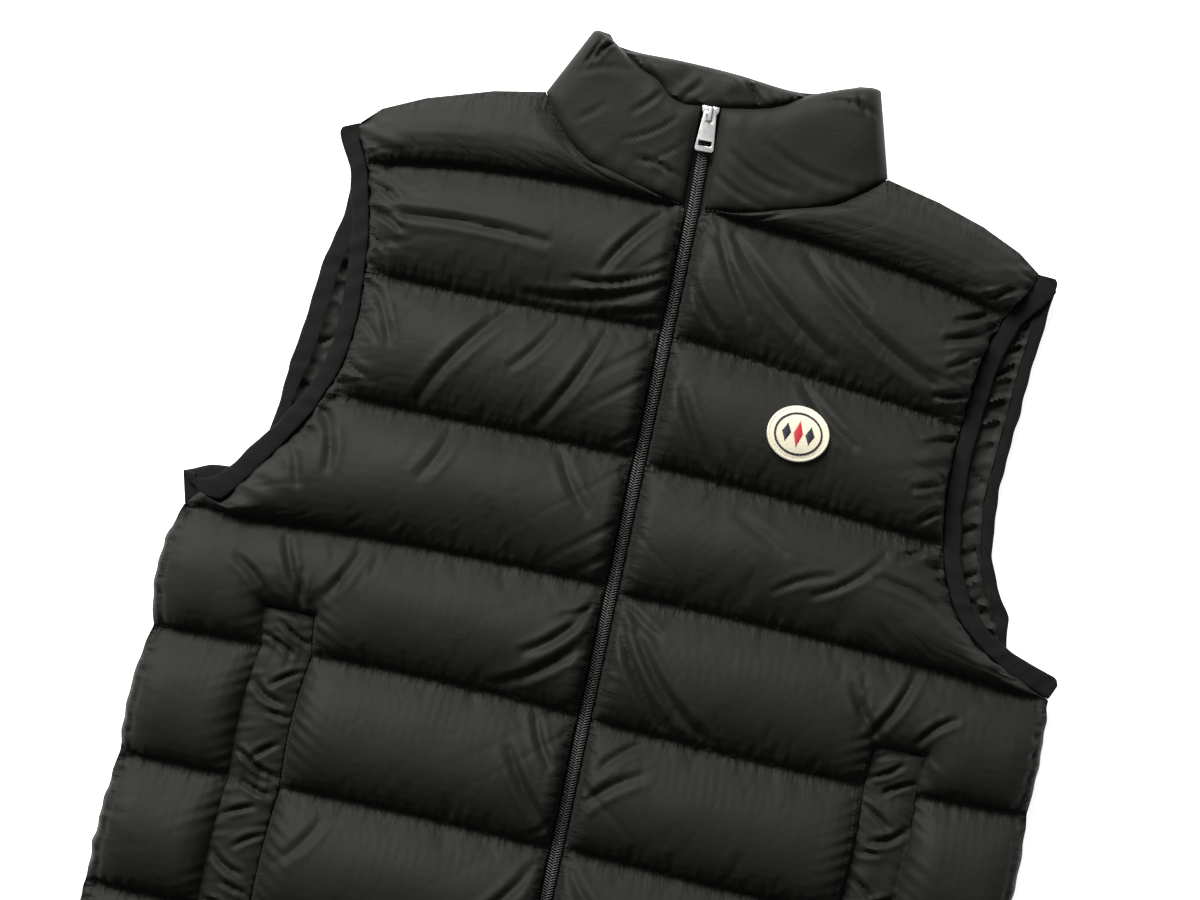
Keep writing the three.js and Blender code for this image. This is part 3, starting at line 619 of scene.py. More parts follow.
class Front(Pattern):
    """The pattern of one front, from the zip, u = 0, to its side and armhole, u = 1."""

    def __init__(self, seams, armhole, neck, shoulder, folds):
        self.seams = seams
        self.armhole = armhole
        self.neck = neck
        self.shoulder = shoulder
        self.folds = folds
        self.side = math.copysign(1, seams[0][3])
        self.zip_edge = ZIP_X + self.side * ZIP_HALF

    def seam_point(self, k, u):
        u = np.asarray(u, float)
        if k > TOP_CHANNEL:
            x = mix(self.shoulder[0][0], self.shoulder[-1][0], u)
            return np.stack([x, height_at(self.shoulder, x)], -1)
        _, at_zip, middle, x, y, _, _ = self.seams[k]
        sag = middle - (at_zip + y) / 2
        return np.stack([mix(self.zip_edge, x, u), mix(at_zip, y, u) + sag * 4 * u * (1 - u)], -1)

    def edges(self, k, v):
        """The inner and outer edge points of a channel at shares v up it."""
        if k == TOP_CHANNEL:
            steps = np.linspace(0, 1, len(self.neck))
            inner = np.stack([np.interp(v, steps, column) for column in np.transpose(self.neck)], -1)
        else:
            inner = mix(self.seam_point(k, 0), self.seam_point(k + 1, 0), np.asarray(v, float)[..., None])
        return inner, along(channel_edge(self.seams, self.armhole, self.shoulder[-1], k), v)


class Back(Pattern):
    """The pattern of the back, from the wearer's right edge, u = 0, to the left one."""

    def __init__(self):
        self.seams = [
            [(*seam[:3], *ends.get(seam[0], seam[3:5]), *seam[5:]) for seam in seams]
            for seams, ends in ((RIGHT_SEAMS, BACK_RIGHT_ENDS), (LEFT_SEAMS, BACK_LEFT_ENDS))
        ]
        self.armholes = (BACK_RIGHT_ARMHOLE, BACK_LEFT_ARMHOLE)
        self.shoulder_ends = (RIGHT_SHOULDER[-1], LEFT_SHOULDER[-1])
        self.upper = (*RIGHT_SHOULDER[1:], *BACK_NECK, *LEFT_SHOULDER[1:])

    def seam_point(self, k, u):
        u = np.asarray(u, float)
        if k > TOP_CHANNEL:
            x = mix(self.shoulder_ends[0][0], self.shoulder_ends[1][0], u)
            return np.stack([x, height_at(self.upper, x)], -1)
        right, left = self.seams[0][k], self.seams[1][k]
        middle = (right[1] + left[1]) / 2
        y = mix(mix(right[4], left[4], u), middle, 4 * u * (1 - u))
        return np.stack([mix(right[3], left[3], u), y], -1)

    def edges(self, k, v):
        return [
            along(channel_edge(self.seams[i], self.armholes[i], self.shoulder_ends[i], k), v) for i in (0, 1)
        ]


def channel_edge(seams, armhole, shoulder_end, k):
    """The outer edge of a channel: the armhole where it has one, or a side that bulges."""
    low = seams[k][3:5]
    high = seams[k + 1][3:5] if k < TOP_CHANNEL else shoulder_end
    between = [p for p in armhole if low[1] + 0.5 < p[1] < high[1] - 0.5]
    if between:
        return [low, *between, high]
    out = math.copysign(seams[k][6], low[0])
    shares = (0, 0.1, 0.3, 0.5, 0.7, 0.9, 1)
    return [(mix(low[0], high[0], t) + out * 4 * t * (1 - t), mix(low[1], high[1], t)) for t in shares]


RIGHT = Front(RIGHT_SEAMS, RIGHT_ARMHOLE, RIGHT_NECK, RIGHT_SHOULDER, RIGHT_FOLDS)
LEFT = Front(LEFT_SEAMS, LEFT_ARMHOLE, LEFT_NECK, LEFT_SHOULDER, LEFT_FOLDS)
BACK = Back()


def channel_rows(pattern, step):
    """Channel and share up it of each row of a fine grid, as one number, from hem to shoulder."""
    rows = []
    for k in range(TOP_CHANNEL + 1):
        ends = pattern.seam_point(k, 0.5), pattern.seam_point(k + 1, 0.5)
        count = max(2, round(float(ends[1][1] - ends[0][1]) / step))
        rows += [k + i / count for i in range(count)]
    return np.array(rows + [TOP_CHANNEL + 1.0])


def in_channel(rows):
    k = np.minimum(TOP_CHANNEL, (rows + 1e-9).astype(int))
    return k, np.clip(rows - k, 0, 1)


def flat_grid(pattern, rows, across):
    channels, shares = in_channel(rows)
    return np.stack([pattern.flat(k, across, np.full(len(across), v)) for k, v in zip(channels, shares)])


def pocket_span(front):
    """The heights of a pocket's lower and upper end."""
    ends = flat_grid(front, np.array([WELT_LOW, WELT_HIGH]), np.array([WELT_MIDDLE]))
    return ends[:, 0, 1].tolist()


# Fronts
def puffed_out(front, rows, flat, across):
    """How far the cloth of the armhole's edge bulges out over the tape."""
    edge = flat[:, -1]
    normal = sideways(edge, front.side)
    s = run_length(edge)
    from_start = s - np.interp(ARMHOLE_FROM, rows, s)
    amount = (OVERHANG + 0.6 * ripple(s, 9, 31)) * ease((rows - ARMHOLE_FROM - 0.02) / 0.25)
    amount *= ease((TOP_CHANNEL + 1 - rows) / 0.12)
    if front.side < 0:
        amount += 9 * np.exp(-(((from_start - 9) / 6) ** 2)) * ease(from_start / 3)
    below = ease((ARMHOLE_FROM - rows) / 0.1)
    amount += below * 0.45 * ripple(s, 17, 33)
    out = (normal * amount[:, None])[:, None] * (across**14)[None, :, None]
    y = flat[:, 0, 1]
    to_zip = np.stack([-front.side * (ZIP_OVERHANG + 0.2 * ripple(y, 8, 34)), 0 * y], -1)
    to_zip *= ease((TOP_CHANNEL + 0.02 - rows) / 0.1)[:, None]
    return out + to_zip[:, None] * ((1 - across) ** 14)[None, :, None]


def front_start(front, step):
    """The start of a front's cloth: its points, and which of them stitches hold."""
    rows = channel_rows(front, step)
    across = np.linspace(0, 1, round((FRONT_WIDTH + 2) / step) + 1)
    flat = flat_grid(front, rows, across)
    k, v = in_channel(rows)
    width = np.linalg.norm(flat[:, -1] - flat[:, 0], axis=1)[:, None]
    lofts = np.array([seam[5] for seam in front.seams])[k][:, None]
    low, high = pocket_span(front)
    aside = outside_of(WELT_INNER, WELT_OUTER, across) * width
    beyond = outside_of(low, high, flat[..., 1])
    hold = 0.08 + 0.92 * rise(np.hypot(aside, beyond) / POCKET_ROUND)
    at_armhole = (rows > ARMHOLE_FROM)[:, None]
    side_rise = rise((1 - across) * width / np.where(at_armhole, ARMHOLE_ROUND, SIDE_ROUND))
    fill = sagging(v)[:, None] * rise((across * width - 0.5) / ZIP_ROUND) * side_rise * hold
    flat = flat + puffed_out(front, rows, flat, across)
    grid = lifted(flat, SEAM_TOP + lofts * fill)
    held = (v < 1e-6)[:, None] | (aside + beyond < 1.5)
    held[-1] = True
    held[:, [0, -1]] = True
    seams = (v < 1e-6)[:, None] & (across > 0.02) & (across < 0.98)
    seams[0] = seams[-1] = False
    x = across * FRONT_WIDTH
    wander = ripple(x, 22, 5)[None, :] * (1 + 0.3 * np.sin(7.0 * rows)[:, None])
    grid[..., 1] += np.where(seams, 0.5 * wander, 0)
    grid[..., 2] += np.where(seams, 0.35 * ripple(x, 9, 6)[None, :], 0)
    return rows, across, grid, held


SIM_SCALE = 10.0
SIM_QUALITY = 5


def inflate(points, held, cloth, flip):
    """Fills a sheet held by its stitches: the loose points go where the pressure takes them."""
    rows, columns = points.shape[:2]
    mesh = bpy.data.meshes.new("cloth")
    scaled = points.reshape(-1, 3) * MM * SIM_SCALE
    mesh.from_pydata(scaled.tolist(), [], grid_faces(rows, columns, flip).tolist())
    piece = add_object("cloth", mesh)
    group = piece.vertex_groups.new(name="held")
    group.add(np.flatnonzero(held.ravel()).tolist(), 1.0, "REPLACE")
    modifier = piece.modifiers.new("Cloth", "CLOTH")
    settings = modifier.settings
    settings.quality = SIM_QUALITY
    settings.mass = 0.1
    settings.tension_stiffness = 15
    settings.compression_stiffness = 15
    settings.shear_stiffness = 5
    settings.bending_stiffness = cloth.bending
    settings.vertex_group_mass = group.name
    settings.use_pressure = True
    settings.uniform_pressure_force = cloth.pressure
    settings.shrink_min = -cloth.ease
    settings.effector_weights.gravity = 0
    modifier.collision_settings.use_collision = False
    modifier.point_cache.frame_end = cloth.frames
    scene = bpy.context.scene
    for number in range(1, cloth.frames + 1):
        scene.frame_set(number)
    only(piece)
    bpy.ops.object.modifier_apply(modifier=modifier.name)
    settled = mesh_points(piece)
    bpy.data.objects.remove(piece)
    scene.frame_set(1)
    return settled.reshape(points.shape) / (MM * SIM_SCALE)


def seam_distances(front, rows, flat):
    """How far each point lies above and below a seam, from the zip's edge and from the outer edge."""
    k, v = in_channel(rows)
    low = np.stack([front.seam_point(c, 0.5) for c in k])[:, 1]
    high = np.stack([front.seam_point(c + 1, 0.5) for c in k])[:, 1]
    reach = (high - low)[:, None]
    zip_side = np.linalg.norm(flat - flat[:, :1], axis=-1)
    out = np.linalg.norm(flat - flat[:, -1:], axis=-1)
    return v[:, None] * reach + 0 * out, (1 - v)[:, None] * reach + 0 * out, zip_side, out


def front_relief(front, rows, flat, x, y):
    """Fine puckers at the seams, the zip, the armhole and the side, and the folds of a front."""
    k, _ = in_channel(rows)
    above, below, zip_side, out = seam_distances(front, rows, flat)
    total = np.zeros(flat.shape[:2])
    for c in range(TOP_CHANNEL + 1):
        band = (k == c)[:, None]
        for distance, seed, strength in ((above, 11 + c, 1.0), (below, 41 + c, 0.8)):
            lean = x + 0.25 * distance * ripple(x, 60, seed + 3)
            short = ripple(lean, 6.5, seed) * np.exp(-distance / 4) * 0.85
            long = ripple(lean, 15.0, seed + 1) * np.exp(-distance / 10) * 0.3
            rare = np.clip(ripple(lean, 34.0, seed + 2), 0.4, 2) * -np.exp(-distance / 18) * 0.7
            total += band * strength * (short + long + rare) * ease(distance / 3)
    at_armhole = (rows >= ARMHOLE_FROM - 0.02)[:, None]
    seed = int(front.side)
    gathers = ripple(y + 0.3 * out, 13, 72 + seed) * beside(out, 11, 4)
    total += np.where(at_armhole, 2.6, 0.5) * gathers
    fine = ripple(y - 0.2 * out, 6, 76 + seed) * beside(out, 6, 2)
    total += np.where(at_armhole, 0.8, 0.7) * fine
    pulled = creases(y + 0.8 * zip_side + ripple(x, 40, 84), 17, 82 + seed)
    total -= 2.6 * pulled * beside(zip_side, 20, 6)
    drawn = creases(y - 0.3 * out + ripple(x, 30, 85), 14, 87 + seed)
    total -= np.where(at_armhole, 3.4, 0.8) * drawn * beside(out, 14, 3)
    at_side = np.where(at_armhole, 0, np.exp(-(((out - 7) / 1.8) ** 2)))
    total -= at_side * (1.3 + 0.7 * ripple(y, 12, 89 + seed))
    total += 0.8 * ripple(y + 0.2 * zip_side, 7, 86 + seed) * beside(zip_side, 5, 2)
    pocket = pocket_span(front)
    width = np.linalg.norm(flat[:, -1] - flat[:, 0], axis=1)[:, None]
    for edge, seed in ((WELT_INNER, 91), (WELT_OUTER, 95)):
        aside = np.abs(zip_side / width - edge) * width
        near = np.exp(-np.hypot(aside, outside_of(*pocket, y)) / 8) * ease(aside / 2)
        total += 1.1 * near * ripple(y + 0.5 * aside, 9, seed)
    total += 0.25 * crumple(x, y, 55, 7)
    filled = ease(np.minimum(above, below) / 9) * ease((zip_side - 2) / 7)
    filled = filled * ease(out / np.where(at_armhole, 3, 9))
    folds = fold_height(x, y, front.folds) * filled
    return total * ease(zip_side / 3) * ease(out / 1.5) + folds


class Cloth:
    """What later pieces need of a finished front: its fine grid of points and their rows and shares."""

    def __init__(self, rows, across, grid):
        self.rows = rows
        self.across = across
        self.grid = grid


FRONTS = {}


def make_front(front, name, cloth):
    """One padded front: filled by the simulation, then given its fine relief and its folds."""
    rows, across, start, held = front_start(front, cloth.grid_step)
    filled = start
    moved = inflate(start, held, cloth, front.side < 0) - start
    filled = start + np.clip(moved, -cloth.cap, cloth.cap)
    filled[..., 2] = np.maximum(filled[..., 2], SEAM_TOP - 0.5)
    grid = refine(filled)
    flat = refine(lifted(start[..., :2], np.repeat(rows[:, None], len(across), 1)))
    fine_rows = flat[:, 0, 2]
    relief = front_relief(front, fine_rows, flat[..., :2], grid[..., 0], grid[..., 1])
    grid[..., 2] = np.maximum(grid[..., 2] + relief, SEAM_TOP - 0.4)
    grid[:, [0, -1], 2] = SEAM_TOP
    grid[[0, -1], :, 2] = SEAM_TOP
    FRONTS[front.side] = Cloth(fine_rows, np.linspace(0, 1, grid.shape[1]), grid)
    above, below, zip_side, out = seam_distances(front, fine_rows, flat[..., :2])
    piece = closed_panel(name, grid, FRONT_BASE)
    add_values(piece, "seam", np.exp(-np.minimum(above, below) / 4))
    add_values(piece, "edge", np.exp(-np.minimum(zip_side, out) / 5))
    return piece


def make_welt(front, name):
    """The padded strip over a pocket, on the front's own points."""
    cloth = FRONTS[front.side]
    columns = (cloth.across > WELT_INNER - 0.004) & (cloth.across < WELT_OUTER + 0.004)
    rows = (cloth.rows > WELT_LOW - 1e-3) & (cloth.rows < WELT_HIGH + 1e-3)
    base = cloth.grid[np.ix_(rows, columns)].copy()
    smoothed = np.convolve(np.pad(base[..., 2].mean(1), 9, "edge"), np.ones(19) / 19, "valid")
    lowest = base[..., 2] + GAP + 0.6
    base[..., 2] = np.minimum(smoothed, SEAM_TOP + 3.5)[:, None]
    t = np.linspace(0, 1, base.shape[1])[None, :]
    levels = cloth.rows[rows]
    x, y = base[..., 0] * front.side, base[..., 1]
    ends = np.minimum(levels - levels[0], levels[-1] - levels)[:, None]
    to_seam = np.abs(levels - np.round(levels))[:, None] * CHANNEL_HEIGHT
    pinch = 1 - 0.55 * np.exp(-((to_seam / 7) ** 2))
    crown = 4.2 * puff(mix(0.04, 0.96, t)) * rise(ends / 0.12 + 0.02) * pinch
    seed = 120 + int(front.side)
    from_edge = WELT_WIDTH * t + 0 * y
    crossing = 1.3 * fold_height(from_edge, (levels * CHANNEL_HEIGHT)[:, None] + 0 * y, WELT_FOLDS)
    crossing += 0.5 * crumple(x, y, 24, seed + 9)
    crossing += 1.4 * ripple(y + 0.3 * x, 7, seed + 5) * np.exp(-np.minimum(t, 1 - t) / 0.14)
    crossing += 0.8 * ripple(from_edge, 8, seed + 6) * np.exp(-to_seam / 8)
    top = base.copy()
    top[..., 2] += GAP + 1.6 + crown + crossing * np.sin(np.pi * mix(0.12, 0.88, t)) * rise(ends / 0.12)
    top[..., 2] = np.maximum(top[..., 2], lowest)
    under = base.copy()
    under[..., 2] = lowest - 0.6
    return two_sided(name, top, under)


# Tape along each armhole: its folded width, and for each stretch the distance from its lower end, and
# its inner and outer edge from the panel's
TAPE_WIDTH = 13.5
FRONT_RIGHT_TAPE = ((0, 14, 21), (10, 9, 20), (24, 0.6, 14), (40, 2.9, 13.6))
FRONT_LEFT_TAPE = (
    (0, 0.6, 10.5), (1.5, 0.6, 12.8), (4, 0.6, 14), (20, 0.6, 13.8), (40, 2.9, 13.6), (285, 2.9, 13.6),
    (305, 0.6, 16),
)
BACK_RIGHT_TAPE = ((0, 0.4, 26), (17, 0.4, 20), (32, 1.2, 12), (48, 1.2, 13.4))
BACK_LEFT_TAPE = (
    (0, 0.3, 2.5), (40, 0.3, 3), (49, 2, 9), (54, 3.2, 12.4), (58, 4, 14.2), (64, 4.4, 14.8), (72, 4.4, 14),
    (80, 4.4, 12.8), (92, 4.4, 13.4),
)


# Back
def make_back(name):
    """The back: it shows beside the armholes, where it hangs into them, and is quilted underneath."""
    rows = channel_rows(BACK, 2.2)
    edge = np.linspace(0, 0.16, 30)
    across = np.concatenate([edge, np.linspace(0.16, 0.84, 34)[1:-1], np.linspace(0.84, 1, 30)])
    flat = flat_grid(BACK, rows, across)
    _, v = in_channel(rows)
    for column, out_side, table in ((0, -1, BACK_RIGHT_TAPE), (-1, 1, BACK_LEFT_TAPE)):
        edge = flat[:, column]
        normal = sideways(edge, out_side)
        s = run_length(edge)
        s = s - np.interp(ARMHOLE_FROM, rows, s)
        amount = np.interp(s, *np.transpose(table)[:2]) + 1.0
        amount *= ease((rows - ARMHOLE_FROM) / 0.1) * ease((TOP_CHANNEL + 1 - rows) / 0.12)
        near = np.clip(out_side * (2 * across - 1) * 4 - 3, 0, 1)
        flat = flat + (normal * amount[:, None])[:, None] * near[None, :, None]
    x, y = flat[..., 0], flat[..., 1]
    out = np.minimum(x - x[:, :1], x[:, -1:] - x)
    from_top = height_at(BACK.upper, x) - y
    armhole = (rows > ARMHOLE_FROM - 0.02)[:, None]
    sunk = 2.4 + 1.8 * ripple(y + 0.5 * out, 11, 151) + 0.5 * crumple(x, y, 11, 152)
    sunk += 3.5 * creases(y + 0.9 * out, 13, 153) + 3.0 * creases(y - 0.7 * out, 16, 154)
    sunk += 2.0 * np.exp(-((np.abs(v - np.round(v)) * CHANNEL_HEIGHT / 6) ** 2))[:, None]
    near = np.exp(-((out / 42) ** 2)) * ease(out / 3) * ease(from_top / 30)
    top = lifted(flat, BACK_TOP - armhole * near * np.clip(sunk, 0, 7))
    seam = np.minimum(v, 1 - v)[:, None] * CHANNEL_HEIGHT
    pinch = 1 + 0.5 * (1 - puff(v))[:, None]
    flatness = np.minimum(rise(out / (BACK_RISE * pinch)), rise(y / BACK_RISE))
    flatness = np.minimum(flatness, rise(from_top / BACK_RISE))
    groove = 3.2 * np.exp(-seam / 7) + 0.5 * np.exp(-seam / 10) * ripple(x, 12, 161)
    low = (BACK_TOP - BACK_EDGE) * (1 - flatness) + np.clip(groove, 0, 5) * flatness
    low = low + 0.7 * ripple(y + 0.3 * out, 12, 163) * beside(out, 9, 4)
    under = lifted(flat, np.clip(low, 0, BACK_TOP - BACK_EDGE + 0.5))
    return two_sided(name, top, under)


# Collar
def collar_stations():
    """Stations round the flattened band: foot, upper edge, face (1 front, -1 back), fill, turn side."""
    def foot(p):
        return np.array([p[0], p[1] + GAP])

    def part_way(a, b, t):
        return mix(np.asarray(a, float), np.asarray(b, float), t)

    right_tops = (
        (-4.4, 679.6), (-15, 678.6), (-25, 681.5), (-34, 689.5), (-46, 694.5), (-60, 704), (-69, 709.8),
    )
    left_tops = ((8.2, 681), (20, 683), (32, 685.5), (45, 690.5), (58, 699), (73, 705.5), (87, 710.5))
    back_tops = ((-50, 704.6), (-22, 705), (12, 704), (48, 701), (70, 703.5))

    def front(neck, tops, side):
        rows = [
            (*foot(part_way(neck[0], neck[1], t)), *part_way(tops[0], tops[1], t), 1, fill, side)
            for t, fill in ((0, 0.35), (0.28, 0.75), (0.6, 0.9))
        ]
        for i, top in enumerate(tops[1:]):
            rows.append((*foot(neck[i + 1]), *top, 0.96 if i == 5 else 1, 1, side))
        return rows

    def fold(foots, tops, side):
        faces = (0.72, 0, -0.72, -0.96)
        return [(*foot(p), *tops[i], faces[i], 1, side) for i, p in enumerate(foots)]

    right_fold = [part_way(RIGHT_NECK[6], RIGHT_NECK[7], 0.62), (-98.8, 669.4), (-94.5, 667.6), BACK_NECK[1]]
    left_fold = [part_way(LEFT_NECK[6], LEFT_NECK[7], 0.62), (116.8, 660.6), (112.5, 659.7), BACK_NECK[7]]
    stations = front(RIGHT_NECK, right_tops, 1)
    stations += fold(right_fold, ((-75.5, 712), (-79, 710.5), (-77, 709.5), (-69, 707)), 1)
    stations += [(*foot(p), *back_tops[i], -1, 1, 1) for i, p in enumerate(BACK_NECK[2:7])]
    stations += fold(left_fold, ((96.5, 712.5), (102, 711.5), (98.5, 709.5), (90, 706.5)), -1)[::-1]
    stations += front(LEFT_NECK, left_tops, -1)[::-1]
    return np.array(stations), right_tops + left_tops


COLLAR_MIDDLE = 13.85
SLIDER_Y = 676.8


def make_collar(name):
    """The stand collar: its outer face, the lip along its upper edge, and what shows of its inner face."""
    stations, front_tops = collar_stations()
    fine = smooth_line(stations, 1.9, reach=4)
    foot, top = fine[:, 0:2], fine[:, 2:4]
    face = np.clip(fine[:, 4], -1, 1)[:, None]
    fill = np.clip(fine[:, 5], 0, 1)[:, None]
    up = np.concatenate([np.linspace(0, 0.1, 5), np.linspace(0.1, 0.9, 24)[1:-1], np.linspace(0.9, 1, 6)])
    share = rise(up / 0.14) * (0.2 + 0.8 * rise((1 - up) / 0.2)) * mix(0.62, 1, ease(up / 0.8))
    xy = foot[:, None] + (top - foot)[:, None] * up[None, :, None]
    x, y = xy[..., 0], xy[..., 1]
    half = 3.3 + 10.55 * np.where(face < 0, np.minimum(1, share * 1.15), share) * fill
    relief = 1.4 * fold_height(x, y, COLLAR_FOLDS) + 0.45 * crumple(x, y, 38, 203)
    height = np.linalg.norm(top - foot, axis=1)[:, None]
    at_foot = up[None, :] * height
    at_top = (1 - up[None, :]) * height
    s = run_length(foot + top)[:, None] / 2
    relief += 0.6 * ripple(s + 0.4 * at_foot, 12, 205) * beside(at_foot, 7, 3)
    relief += 0.4 * ripple(s - 0.3 * at_top, 11, 206) * beside(at_top, 8, 3)
    relief += 0.5 * ripple(s, 5, 207) * beside(at_foot, 4, 1.5)
    shown = ease((face - 0.1) / 0.6)
    z = COLLAR_MIDDLE + face * half + shown * relief * np.minimum(1, share * 1.3) * np.minimum(1, fill * 1.2)
    outside = np.stack([x, y, np.maximum(z, np.where(face > 0, COLLAR_MIDDLE + 3.0 * face, 0))], -1)
    lip = outside[:, -1].copy()
    lip[:, 2] = mix(lip[:, 2], COLLAR_MIDDLE + face[:, 0] * 1.0, 0.55)
    lip[:, :2] += (top - foot) / height * 0.8
    down = np.linspace(1, 0, 22)
    turned = np.sqrt(1 - face**2) * fine[:, 6:7]
    xy = foot[:, None] + (top - foot)[:, None] * down[None, :, None]
    x = xy[..., 0] + turned * np.where(down < 0.06, 3, 11)
    y = xy[..., 1]
    inner_half = np.interp(down[::-1], [0, 0.12, 0.6, 1], [0.45, 1.8, 1.8, 1.0])[::-1]
    bare = ease((y - height_at(front_tops, x) + 1.0) / 4) * ease(-face / 0.5)
    bulge = 8.0 + fold_height(x, y, BACK_COLLAR_FOLDS)
    bulge += 1.0 * crumple(x, y, 22, 208) + 0.5 * crumple(x, y, 10, 209)
    under_pull = ease((12 - np.abs(x - zip_x(y))) / 4)
    bulge = mix(bulge, np.minimum(bulge, 7.2 + 0.16 * (y - SLIDER_Y)), under_pull)
    edge = rise((1 - down[None, :]) * height / 9)
    z = COLLAR_MIDDLE + face * inner_half + bare * np.maximum(bulge, 0) * edge
    inside = np.stack([x, y, z], -1)
    rings = np.concatenate([outside, lip[:, None], inside], axis=1)
    return ring_solid(name, rings)


# Bindings
def binding_line(pattern, u):
    """The pattern's edge at share u along an armhole, up to the shoulder."""
    levels, tops = [0, 0.15, 0.5, 0.85], [0, 0.2, 0.5, 0.8, 1]
    if isinstance(pattern, Front):
        levels, tops = [0, 0.1, 0.32, 0.62, 0.88], [i / 7 for i in range(8)]
    rows = [k + v for k in range(ARMHOLE_FROM, TOP_CHANNEL) for v in levels] + [TOP_CHANNEL + v for v in tops]
    points = []
    for row in rows:
        k = min(TOP_CHANNEL, int(row + 1e-9))
        points.append(pattern.flat(k, np.array([u]), np.array([row - k]))[0])
    return np.array(points)


def make_binding(name, line, out, low, high, lean, table, seed):
    """A folded tape outside an armhole's edge, wider where it meets the side seam."""
    steps = np.arange(len(line))[:, None]
    fine = smooth_line(np.hstack([line, steps]), 2.0)
    near = np.clip(1 - fine[:, 2] / 5, 0, 1)
    points = fine[:, :2]
    normal = sideways(points, out)
    s = run_length(points)
    inner, outer = (np.interp(s, *np.transpose(table)[[0, i]]) for i in (1, 2))
    inner = mix(np.minimum(inner, 2 * GAP), inner, ease((s[-1] - s) / 12))
    outer = outer * (0.78 + 0.22 * rise((s[-1] - s + 0.3) / 4)) + 0.35 * ripple(s, 26, seed)
    shares = np.array([0, 0.04, 0.12, 0.3, 0.5, 0.7, 0.88, 0.96, 1])
    round_off = rise(np.minimum(shares / 0.1, (1 - shares) / 0.1))
    rings = []
    for i, point in enumerate(points):
        wave = 0.35 * ripple(s[i : i + 1] + 6 * shares, 17, seed + 1) + 0.3 * np.sin(np.pi * shares)
        d = mix(inner[i], outer[i], shares)
        xy = point + normal[i] * d[:, None]
        xy[:, 0] += out * lean * near[i] * shares
        upper = np.column_stack([xy, mix((low + high) / 2, high + wave, round_off)])
        lower = np.column_stack([xy, mix((low + high) / 2, low, round_off)])
        rings.append(np.vstack([upper, lower[-2:0:-1]]))
    widths = outer - inner
    area = float(np.sum(np.diff(s) * (widths[1:] + widths[:-1]) / 2))
    return ring_solid(name, rings), float(s[-1]), area


# Zip
ZIP_TAPE_TOP = 15.3
TOOTH_PITCH = 1.66
TOOTH_Z = 17.35


def make_zip_tape(name, side):
    """What shows of one of the zip's tapes, beside and under the coil."""
    y = np.concatenate([[0, 9], np.linspace(10, NECK_Y, 120), np.linspace(NECK_Y, ZIP_TOP, 16)[1:]])
    inner = np.where(y < 9.5, 4.8, np.where(y > 675, 2.3, 0.2))
    shares = np.linspace(0, 1, 7)
    across = inner[:, None] + (np.maximum(4.1, inner + 1.4) - inner)[:, None] * shares
    x = zip_x(y)[:, None] + side * across
    curl = 0.12 * ripple(y, 40, 301 + side)[:, None] * shares
    top = np.stack([x, np.repeat(y[:, None], 7, 1), ZIP_TAPE_TOP + curl], -1)
    under = top.copy()
    under[..., 2] = ZIP_TAPE_TOP - 1
    return two_sided(name, top, under)


def add_block(low, high):
    """A cube primitive stretched between two corners, in millimetres, in its own object."""
    low, high = np.asarray(low, float), np.asarray(high, float)
    deselect()
    bpy.ops.mesh.primitive_cube_add(size=1, location=tuple((low + high) / 2 * MM))
    piece = bpy.context.object
    piece.scale = tuple((high - low) * MM)
    bpy.ops.object.transform_apply(location=True, rotation=True, scale=True)
    return piece


def bevel(piece, width, segments):
    only(piece)
    modifier = piece.modifiers.new("Bevel", "BEVEL")
    modifier.width = width * MM
    modifier.segments = segments
    modifier.limit_method = "ANGLE"
    modifier.angle_limit = math.radians(30)
    return apply_all(piece)


def cut_at(piece, normal, places):
    """Cuts a piece's faces at planes across one direction."""
    only(piece)
    bpy.ops.object.mode_set(mode="EDIT")
    for place in places:
        bpy.ops.mesh.select_all(action="SELECT")
        point = tuple(n * place * MM for n in normal)
        bpy.ops.mesh.bisect(plane_co=point, plane_no=normal)
    bpy.ops.object.mode_set(mode="OBJECT")
    return piece


def reshape(piece, change):
    """Moves each point, in millimetres, by a function of it."""
    points = mesh_points(piece) / MM
    piece.data.vertices.foreach_set("co", (change(points) * MM).ravel())
    piece.data.update()
    return piece


def make_teeth(name):
    """Both rows of the coil: a slanting loop for each tooth, bent down at its outer end."""
    template = add_block((-0.2, -0.28, -0.5), (3.4, 0.28, 0.5))
    cut_at(template, (1, 0, 0), (0.5, 1.6, 2.6))

    def bend(p):
        outer = np.clip((p[:, 0] - 1.6) / 1.7, 0, 1)
        p[:, 2] -= 0.75 * outer**2
        p[:, 1] += 0.42 * p[:, 0]
        return p

    reshape(template, bend)
    bevel(template, 0.2, 2)
    places = []
    for i in range(int((CHAIN_TO - CHAIN_FROM - 1) / TOOTH_PITCH)):
        y = CHAIN_FROM + 0.6 + i * TOOTH_PITCH
        for side, half_step in ((1, 0), (-1, TOOTH_PITCH / 2)):
            here = y + half_step
            places.append(stretched(side, (float(zip_x(here)), here, TOOTH_Z)))
    return face_out(scatter(name, template, places))


SLIDER_TURN = math.atan(ZIP_LEAN / (ZIP_TOP - NECK_Y))


def to_slider(piece):
    """Puts a piece modelled round the slider's own origin at its place on the zip."""
    turn = Matrix.Rotation(SLIDER_TURN, 4, "Z")
    x, y, z = in_frame((float(zip_x(SLIDER_Y)), SLIDER_Y, 0))
    piece.data.transform(Matrix.Translation((x, y, z)) @ turn)
    return piece


def join(pieces, name):
    deselect()
    for piece in pieces:
        piece.select_set(True)
    bpy.context.view_layer.objects.active = pieces[0]
    bpy.ops.object.join()
    pieces[0].name = name
    return pieces[0]


def subtract(piece, cutter):
    modifier = piece.modifiers.new("Cut", "BOOLEAN")
    modifier.operation = "DIFFERENCE"
    modifier.object = cutter
    apply_all(piece)
    bpy.data.objects.remove(cutter)
    return piece


